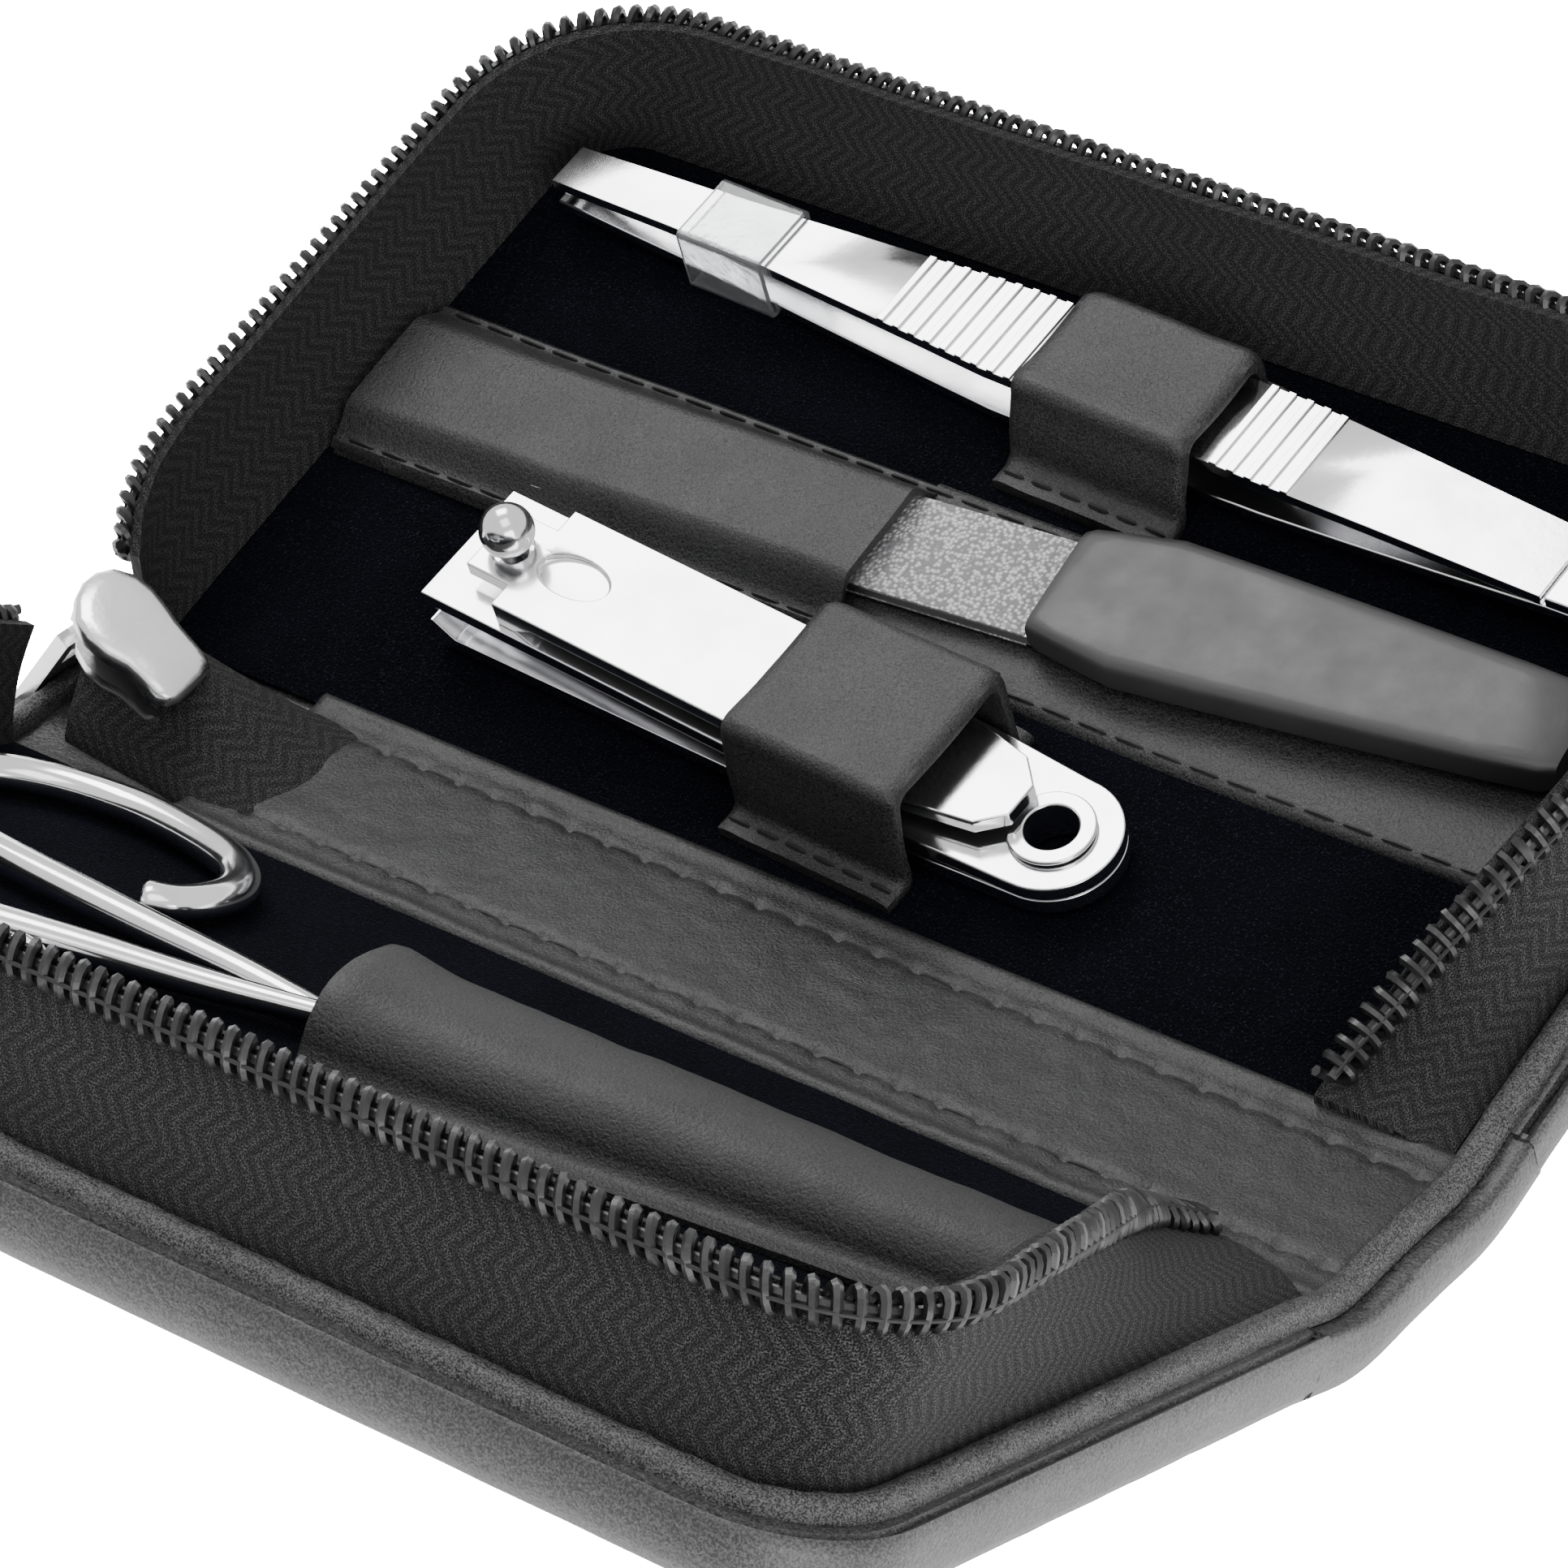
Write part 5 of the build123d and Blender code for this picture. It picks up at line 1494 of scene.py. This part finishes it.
@dataclass
class Pocket:
    """Leather pocket for the file: sewn band, raised front and its two ears."""

    low: float = 20.7
    high: float = 35.7
    end: float = 52.0
    mouth: float = -7.6
    ear: float = 5.6

    def build(self, shop: Workshop) -> None:
        """Makes the band, the front and the stitches.

        Args:
            shop: The workshop.
        """
        seat = SEATS[Place.FAR]
        shop.make("pocket_band", self._band(), seat, INNER_LEATHER, ["pocket_base"])
        shop.make("pocket_panel", self._front(), seat, INNER_LEATHER, ["pocket_front"])
        shop.make("pocket_thread", self._thread(), seat, THREAD, ["pocket_stitches"])

    def _edge(self, x: float, upper: bool) -> float:
        """Slightly wavy edge of the band."""
        base = self.high if upper else self.low
        return base + 0.22 * ripple(x, base, 2, 0.06)

    def _band(self) -> MeshData:
        """Band across the tray."""
        sections = []
        for i in range(131):
            x = mix(-self.end, self.end, i / 130)
            section = []
            for j in range(29):
                t = j / 28
                v = mix(self._edge(x, False), self._edge(x, True), t)
                rim = min(t, 1 - t) * (self.high - self.low)
                dent = 0.2 * math.exp(-((rim - 0.8) / 0.4) ** 2)
                z = CASE.floor_z + 0.7 * min(rim / 0.5, 1) ** 0.5 - dent + 0.12 * ripple(x, v, 1,
                                                                                         0.2)
                section.append(Vector((x, v, z)))
            under = [Vector((p.x, p.y, CASE.floor_z - 0.1)) for p in section[::-4]]
            sections.append(section + under)
        return sweep(sections)

    def _front(self) -> MeshData:
        """Raised front up to the mouth, then the two ears."""
        sections = []
        for i in range(91):
            x = mix(-self.end, self.mouth, i / 90)
            rise = mix(1.5, 2.75, ease((x + self.end) / (self.mouth + self.end)))
            outer, inner = [], []
            for j in range(33):
                t = j / 32
                v = mix(self._edge(x, False), self._edge(x, True), t)
                rim = min(t, 1 - t) * (self.high - self.low)
                arch = ease((rim - 0.9) / 2.6)
                dent = 0.22 * math.exp(-((rim - 0.75) / 0.35) ** 2)
                z = CASE.floor_z + 0.72 + 0.6 * min(rim / 0.45, 1) ** 0.5 + rise * arch - dent
                z += 0.14 * ripple(x, v, 4, 0.18) * (0.3 + arch)
                outer.append(Vector((x, v, z)))
                inner.append(Vector((x, v, max(z - 0.75, CASE.floor_z + 0.7))))
            sections.append(outer + inner[::-1])
        data = sweep(sections)
        for upper in (False, True):
            data.add(self._ear(upper))
        return data

    def _ear(self, upper: bool) -> MeshData:
        """One sewn margin that runs on past the mouth."""
        sections = []
        side = -1 if upper else 1
        for i in range(19):
            t = i / 18
            x = mix(self.mouth - 0.4, self.ear, t)
            edge = self._edge(x, upper)
            wide = mix(2.4, 1.7, t)
            curl = 0.35 * ease((t - 0.6) / 0.4)
            section = []
            for dv, dz in ((0.0, 0.0), (0.05, 0.45), (0.35, 0.62), (0.8, 0.45),
                           (wide - 0.3, 0.62 + curl),
                           (wide, 0.4 + curl), (wide, 0.0 + curl * 0.6)):
                section.append(Vector((x, edge + side * dv, CASE.floor_z + 0.72 + dz)))
            sections.append(section)
        return sweep(sections)

    def _thread(self) -> MeshData:
        """Rows along both edges."""
        data = MeshData()
        for upper in (False, True):
            inset = -0.8 if upper else 0.8
            for x0, x1, z in ((-self.end + 1, self.ear, 1.2), (self.ear + 0.6, self.end - 1, 0.62)):
                count = int((x1 - x0) / 3.0)
                for i in range(count):
                    a, b = (x0 + (i + s) * 3.0 for s in (0.1, 0.85))
                    ends = [Vector((x, self._edge(x, upper) + inset, CASE.floor_z + z))
                            for x in (a, b)]
                    data.add(capsule(ends[0], ends[1], 0.17, Vector((0, 0, 0.12))))
        return data


@dataclass
class Strap:
    """Leather loop over a tool."""

    name: str
    seat: Seat
    half_width: float
    height: float
    run: float
    back_foot: float
    half_length: float = 7.3
    leather: float = 1.0
    clear: float = 0.35
    foot: float = 2.0

    def build(self, shop: Workshop) -> None:
        """Makes the loop and its stitches.

        Args:
            shop: The workshop.
        """
        shop.make(self.name + "_loop", self._loop(), self.seat, INNER_LEATHER, [self.name],
                  crease=70)
        data = MeshData()
        front = -self.half_width - self.clear - self.run - self.leather - self.foot / 2
        half = self.half_length
        data.add(stitch_line(Vector((-half, front, 0.95)), Vector((half, front, 0.95)), 2.4))
        shop.make(self.name + "_thread", data, self.seat, THREAD, [self.name + "_stitches"])

    def _line(self, extra: float) -> list[Point2]:
        """Outline of the loop in (y, z), extra outwards from the tool.

        Args:
            extra: Offset outwards.

        Returns:
            The points, from the front foot over the top to the back foot.
        """
        a = -self.half_width - self.clear - extra
        b = self.half_width + self.clear + extra
        h = self.height + self.clear + extra
        foot_a = a - self.run
        points = [(foot_a - self.foot - self.leather + extra, extra * 0.9),
                  (foot_a - 0.7, extra * 0.9),
                  (foot_a - 0.15, extra * 0.9 + 0.35)]
        for i in range(1, 6):
            t = i / 6
            points.append((mix(foot_a, a, t) - 0.25 * math.sin(math.pi * t), mix(0.4, h - 1.2, t)))
        for i in range(7):
            t = i / 6 * math.pi / 2
            points.append((a + 1.1 * (1 - math.cos(t)), h - 1.1 + 1.1 * math.sin(t)))
        for i in range(1, 10):
            t = i / 10
            points.append((mix(a + 1.1, b - 1.1, t), h - 0.22 * math.sin(math.pi * t)))
        for i in range(7):
            t = i / 6 * math.pi / 2
            points.append((b - 1.1 + 1.1 * math.sin(t), h - 1.1 + 1.1 * math.cos(t)))
        points += [(b, h * 0.5), (b, 0.6 + extra * 0.5), (b + 0.3, extra * 0.9 + 0.05),
                   (b - extra + self.leather + self.back_foot, extra * 0.9)]
        return points

    def _loop(self) -> MeshData:
        """The loop's thick, slightly irregular skin."""
        sections = []
        outer, inner = self._line(self.leather), self._line(0.0)
        slices = 26
        for i in range(slices + 1):
            x = mix(-self.half_length, self.half_length, i / slices)
            edge = min(i, slices - i)
            round_off = {0: 0.28, 1: 0.07}.get(edge, 0.0)
            section = []
            for k, (y, z) in enumerate(outer):
                wave = 0.1 * ripple(x, y, z, 0.3)
                ny, nz = inner[k][0] - y, inner[k][1] - z
                section.append(Vector((x, y + ny * round_off + wave * 0.4,
                                       z + nz * round_off + wave)))
            for k in range(len(inner) - 1, -1, -1):
                y, z = inner[k]
                section.append(Vector((x, y, z)))
            sections.append(section)
        return sweep(sections)


@dataclass
class Sheath:
    """Soft leather tube for the scissor blades, sewn to the raised tray's lining."""

    behind: float = 5.0
    reach: float = 44.5
    mouth: tuple[float, float] = (14.4, 6.4)
    end: tuple[float, float] = (9.4, 4.8)

    def build(self, shop: Workshop, seat: Seat) -> None:
        """Makes the sheath.

        Args:
            shop: The workshop.
            seat: The scissors' seat on the near tray.
        """
        slices, arcs = 60, 22
        sections = []
        for i in range(slices + 1):
            t = i / slices
            x = mix(-self.behind, self.reach, t)
            wide = mix(self.mouth[0], self.end[0], t ** 0.8) / 2
            tall = mix(self.mouth[1], self.end[1], t)
            tall += 0.5 * math.exp(-(t / 0.06) ** 2)
            outer, inner = [], []
            for j in range(arcs + 1):
                a = math.pi * j / arcs
                y = wide * math.copysign(abs(math.cos(a)) ** 0.72, math.cos(a))
                z = tall * math.sin(a) ** 0.8
                soft = 0.22 * ripple(x, y, 6, 0.12) + 0.1 * ripple(x, y, 2, 0.45)
                lip = 0.35 if i in (0, slices) else 0.0
                outer.append(Vector((x, y * (1 - lip * 0.05),
                                     z * (1 - lip * 0.06) + soft * math.sin(a))))
                inner.append(Vector((x, y * (1 - 0.95 / wide),
                                     z * (1 - 0.95 / tall) + soft * math.sin(a))))
            foot = [(wide + 1.7, 0.05), (wide + 1.75, 0.5), (wide + 0.6, 0.75)]
            front = [Vector((x, y, z)) for y, z in foot]
            back = [Vector((x, -y, z)) for y, z in foot[::-1]]
            sections.append(front + outer[1:-1] + back + inner[::-1])
        shop.make("sheath_tube", sweep(sections), seat, INNER_LEATHER, ["scissor_sheath"],
                  crease=75)


# ----------------------------------------------------------------------------- tools
@dataclass
class Tweezers:
    """Tweezers with a ribbed grip and a clear sleeve."""

    def build(self, shop: Workshop) -> None:
        """Refines the frame's arms and sleeve."""
        shop.refine("tweezer_lower_arm", STEEL, 0.14)
        shop.refine("tweezer_upper_arm", STEEL, 0.1)
        shop.refine("tweezer_arm_weld", STEEL, 0.14)
        shop.refine("tweezer_sleeve", VINYL, 0.12)


@dataclass
class Clipper:
    """Nail clipper: two jaws, lever, pin and rivet."""

    def build(self, shop: Workshop) -> None:
        """Refines the frame's parts."""
        shop.refine("clipper_lower_jaw", STEEL, 0.15)
        shop.refine("clipper_upper_jaw", STEEL, 0.15)
        shop.refine("clipper_lever", STEEL, 0.25)
        shop.refine("clipper_pin", STEEL, 0.1)
        shop.refine("clipper_eyelet", STEEL, 0.14)


@dataclass
class NailFile:
    """File with a grit-faced blade and a moulded handle."""

    seat: Seat
    start: float = 44.0
    thick: float = 3.0
    stations: tuple[Point2, ...] = ((0.0, 9.4), (0.7, 10.0), (2.6, 10.8), (7.0, 12.4), (14.0, 11.7),
                                    (24.0, 10.4), (34.0, 9.0), (38.4, 8.1), (39.5, 7.0))

    def build(self, shop: Workshop) -> None:
        """Makes the handle and dresses the blade.

        Args:
            shop: The workshop.
        """
        shop.refine("file_blade", FILE_STEEL, 0.08)
        shop.dress("file_grit", GRIT)
        shop.make("file_grip", self._handle(), self.seat, HANDLE, ["file_handle"], crease=60)

    def _handle(self) -> MeshData:
        """Handle with softly crowned faces and a full edge."""
        sections = []
        for i, (dx, wide) in enumerate(self.stations):
            x = self.start + dx
            end = i in (0, len(self.stations) - 1)
            half, tall = wide / 2, self.thick / 2 * (0.82 if end else 1.0)
            section = []
            for k in range(28):
                a = 2 * math.pi * k / 28
                y = half * math.copysign(abs(math.cos(a)) ** 0.28, math.cos(a))
                z = tall * math.copysign(abs(math.sin(a)) ** 0.42, math.sin(a))
                section.append(Vector((x, y, self.thick / 2 + z)))
            sections.append(section)
        return sweep(sections)


@dataclass
class Scissors:
    """Nail scissors: two halves with round-wire bows, and their screw."""

    seat: Seat
    course: tuple[Point2, ...] = ((1.5, 0.0), (-4.0, 0.4), (-9.0, 1.1), (-15.0, 2.0), (-22.0, 3.2),
                                  (-29.0, 4.6),
                                  (-36.0, 6.2), (-42.0, 8.2), (-46.5, 11.2), (-48.0, 15.0),
                                  (-46.4, 18.8),
                                  (-42.0, 21.4), (-36.0, 22.0), (-30.0, 20.6), (-25.6, 18.3),
                                  (-23.2, 15.0),
                                  (-22.8, 11.6), (-24.0, 8.6), (-26.0, 7.6))
    wire: float = 1.45
    steel: float = 1.3
    clear: float = 0.05

    def build(self, shop: Workshop) -> None:
        """Makes both halves and refines the screw.

        Args:
            shop: The workshop.
        """
        lower = Seat(self.seat.matrix, "scissors")
        upper = Seat(self.seat.matrix, "scissor_half")
        shop.make("scissor_lower", self._half(-1), lower, STEEL, ["scissor_lower_half"], crease=60)
        shop.make("scissor_upper", self._half(1), upper, STEEL, ["scissor_upper_half"], crease=60)
        shop.refine("scissor_screw", STEEL, 0.12)

    def _half(self, side: int) -> MeshData:
        """One half: blade, shank and bow.

        Args:
            side: -1 for the lower half, whose bow lies nearer the spine, or 1.

        Returns:
            Its mesh.
        """
        z0 = 0.0 if side < 0 else self.steel + self.clear
        blade = [(-2.5, -2.4), (6, -2.7), (24, -2.0), (42, -0.35), (42.3, 0.0), (42, 0.35),
                 (24, 2.0),
                 (6, 2.7), (-2.5, 2.4)]
        data = slab(blade, z0 + 0.04, z0 + self.steel - 0.04)
        middle = self.steel + self.clear / 2
        data.add(tube(*self._wire(side, z0 + self.steel / 2, middle), 14, flat=0.9))
        return data

    def _wire(self, side: int, low: float, middle: float) -> tuple[list[Vector], list[float]]:
        """Line and radii of the wire that is shank and open bow in one.

        Args:
            side: -1 for the lower half, or 1.
            low: Height at the blade.
            middle: Height of the bow.

        Returns:
            The points and the radius at each.
        """
        knots = [Vector((x, y * side, mix(low, middle, ease(-x / 16.0)))) for x, y in self.course]
        points, radii = [], []
        for i in range(len(knots) - 1):
            a, b = knots[max(i - 1, 0)], knots[i]
            c, d = knots[i + 1], knots[min(i + 2, len(knots) - 1)]
            for k in range(5):
                t = k / 5
                points.append(0.5 * (2 * b + (c - a) * t + (2 * a - 5 * b + 4 * c - d) * t * t
                                     + (3 * b - a - 3 * c + d) * t * t * t))
        points.append(knots[-1])
        for i in range(len(points)):
            along = i / (len(points) - 1)
            radii.append(mix(0.72, self.wire, ease(along / 0.3)) * (1.0 if along < 0.99 else 0.8))
        return points, radii


# ----------------------------------------------------------------------------- studio
@dataclass
class Studio:
    """Floor, lights and the camera at the photograph's viewing angle."""

    eye: tuple[float, float, float] = (264.47, -188.28, 330.54)
    yaw: float = 2.4124
    pitch: float = 0.8509
    roll: float = -0.315
    focal: float = 8000.0
    centre: Point2 = (922.35, 1024.41)
    frame_px: float = 1932.0
    shift_x: float = -51.8
    shift_y: float = -30.75
    shift_z: float = 5.5

    def build(self) -> None:
        """Makes the floor, the lights, the world and the camera."""
        self._floor()
        self._lights()
        self._camera()

    def _floor(self) -> None:
        """Large pale floor under the case."""
        bpy.ops.mesh.primitive_plane_add(size=12.0, location=(0, 0, -0.0002))
        floor = bpy.context.object
        floor.name = "studio_floor"
        made = bpy.data.materials.new("studio_floor")
        made.use_nodes = True
        shader = made.node_tree.nodes["Principled BSDF"]
        shader.inputs["Base Color"].default_value = (0.9, 0.9, 0.9, 1)
        shader.inputs["Roughness"].default_value = 0.9
        shader.inputs["Emission Color"].default_value = (1, 1, 1, 1)
        n = Nodes(made.node_tree)
        glow = n.spread(n.node("ShaderNodeLightPath").outputs["Is Camera Ray"], 0.0, 1.0, 1.6, 40.0)
        n.link(glow, shader.inputs["Emission Strength"])
        floor.data.materials.append(made)

    def _light(self, name: str, spot: Vector, size: float, power: float) -> None:
        """One square softbox that looks at the case.

        Args:
            name: Its name.
            spot: Its place in metres.
            size: Its side in metres.
            power: Its power in watts.
        """
        data = bpy.data.lights.new(name, "AREA")
        data.shape = "SQUARE"
        data.size = size
        data.energy = power
        made = bpy.data.objects.new(name, data)
        made.location = spot
        made.rotation_mode = "QUATERNION"
        made.rotation_quaternion = spot.to_track_quat("Z", "Y")
        bpy.context.scene.collection.objects.link(made)

    def _lights(self) -> None:
        """Broad light from behind and above, a fill from the camera's side, and a white sky."""
        self._light("back_softbox", Vector((-0.42, 0.37, 0.64)), 0.42, 4.2)
        self._light("top_softbox", Vector((0.15, -0.1, 0.9)), 0.5, 1.6)
        self._light("side_softbox", Vector((0.7, -0.55, 0.35)), 0.6, 6.0)
        world = bpy.data.worlds.new("studio_sky")
        world.use_nodes = True
        back = world.node_tree.nodes["Background"]
        back.inputs["Color"].default_value = (1, 1, 1, 1)
        n = Nodes(world.node_tree)
        n.link(n.spread(n.node("ShaderNodeLightPath").outputs["Is Diffuse Ray"], 0.0, 1.0, 1.1,
                        0.35),
               back.inputs["Strength"])
        bpy.context.scene.world = world

    def _camera(self) -> None:
        """Camera solved from the photograph's straight edges."""
        cy, sy = math.cos(self.yaw), math.sin(self.yaw)
        cp, sp = math.cos(self.pitch), math.sin(self.pitch)
        ahead = Vector((cy * cp, sy * cp, -sp))
        right = Vector((sy, -cy, 0))
        up = right.cross(ahead)
        cr, sr = math.cos(self.roll), math.sin(self.roll)
        rolled_right = right * cr + up * sr
        rolled_up = up * cr - right * sr
        data = bpy.data.cameras.new("camera")
        data.sensor_width = 36.0
        data.lens = self.focal / self.frame_px * 36.0
        data.shift_x = (self.frame_px / 2 - self.centre[0]) / self.frame_px
        data.shift_y = (self.centre[1] - self.frame_px / 2) / self.frame_px
        data.clip_start = 0.02
        data.clip_end = 20
        made = bpy.data.objects.new("camera", data)
        spot = Vector(self.eye) + Vector((self.shift_x, self.shift_y, self.shift_z))
        rotation = Matrix((rolled_right, rolled_up, -ahead)).transposed().to_4x4()
        made.matrix_world = Matrix.Translation(spot * MM) @ rotation
        bpy.context.scene.collection.objects.link(made)
        bpy.context.scene.camera = made


# ----------------------------------------------------------------------------- assembly
def tool_seats() -> dict[str, Seat]:
    """Seats of the tools and of what holds them.

    Returns:
        The seats by tool name.
    """
    far, near = SEATS[Place.FAR], SEATS[Place.NEAR]
    floor = CASE.floor_z
    strap_x = 2.6
    tweezer_v = 48.6 + (strap_x + 49.2) * math.tan(math.radians(-2.5))
    clipper_v = 14.0 + (strap_x + 33.0) * math.tan(math.radians(-3.2))
    return {
        "tweezer_strap": far.turned(strap_x, tweezer_v, floor, -2.5, "far_tray"),
        "clipper_strap": far.turned(strap_x, clipper_v, floor, -3.2, "far_tray"),
        "file": far.turned(-38.0, 26.9, floor + 1.1, 4.0, "nail_file"),
        "sheath": near.turned(1.4, 24.4, floor, -7.0, "near_tray"),
        "scissors": near.turned(1.4, 24.4, floor + 0.3, -7.0, "scissors"),
    }


def main() -> None:
    """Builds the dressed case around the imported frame."""
    logging.basicConfig(level=logging.INFO, format="%(message)s")
    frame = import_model()
    for made in list(bpy.data.objects):
        if made.type in ("LIGHT", "CAMERA") or made.name == "Cube":
            bpy.data.objects.remove(made)
    shop = Workshop(frame)
    seats = tool_seats()
    Studio().build()
    Tray(Place.FAR).build(shop)
    Tray(Place.NEAR, lean_far=-2.4, rim_corner=9.0,
         left_rim=((-1.5, 1.4, 8.6), (1.2, 0.4, 9.3), (9.0, 0.6, 10.8), (17.0, 1.0, 11.7)),
         right_rim=((0.3, 8.6, 1.2), (3.7, 9.2, 2.2), (8.0, 9.5, 3.9), (14.0, 7.8, 6.2),
                    (20.0, 5.4, 8.6),
                    (27.0, 3.2, 10.2), (33.0, 1.6, 11.2), (43.0, -0.3, 11.7))).build(shop)
    Spine().build(shop)
    Slider().build(shop)
    Pocket().build(shop)
    Strap("tweezer_strap", seats["tweezer_strap"], 4.0, 5.95, 1.6, 2.0).build(shop)
    Strap("clipper_strap", seats["clipper_strap"], 5.3, 7.6, 0.5, 1.0).build(shop)
    Sheath().build(shop, seats["sheath"])
    Tweezers().build(shop)
    Clipper().build(shop)
    NailFile(seats["file"]).build(shop)
    Scissors(seats["scissors"]).build(shop)


if __name__ == "__main__":
    main()
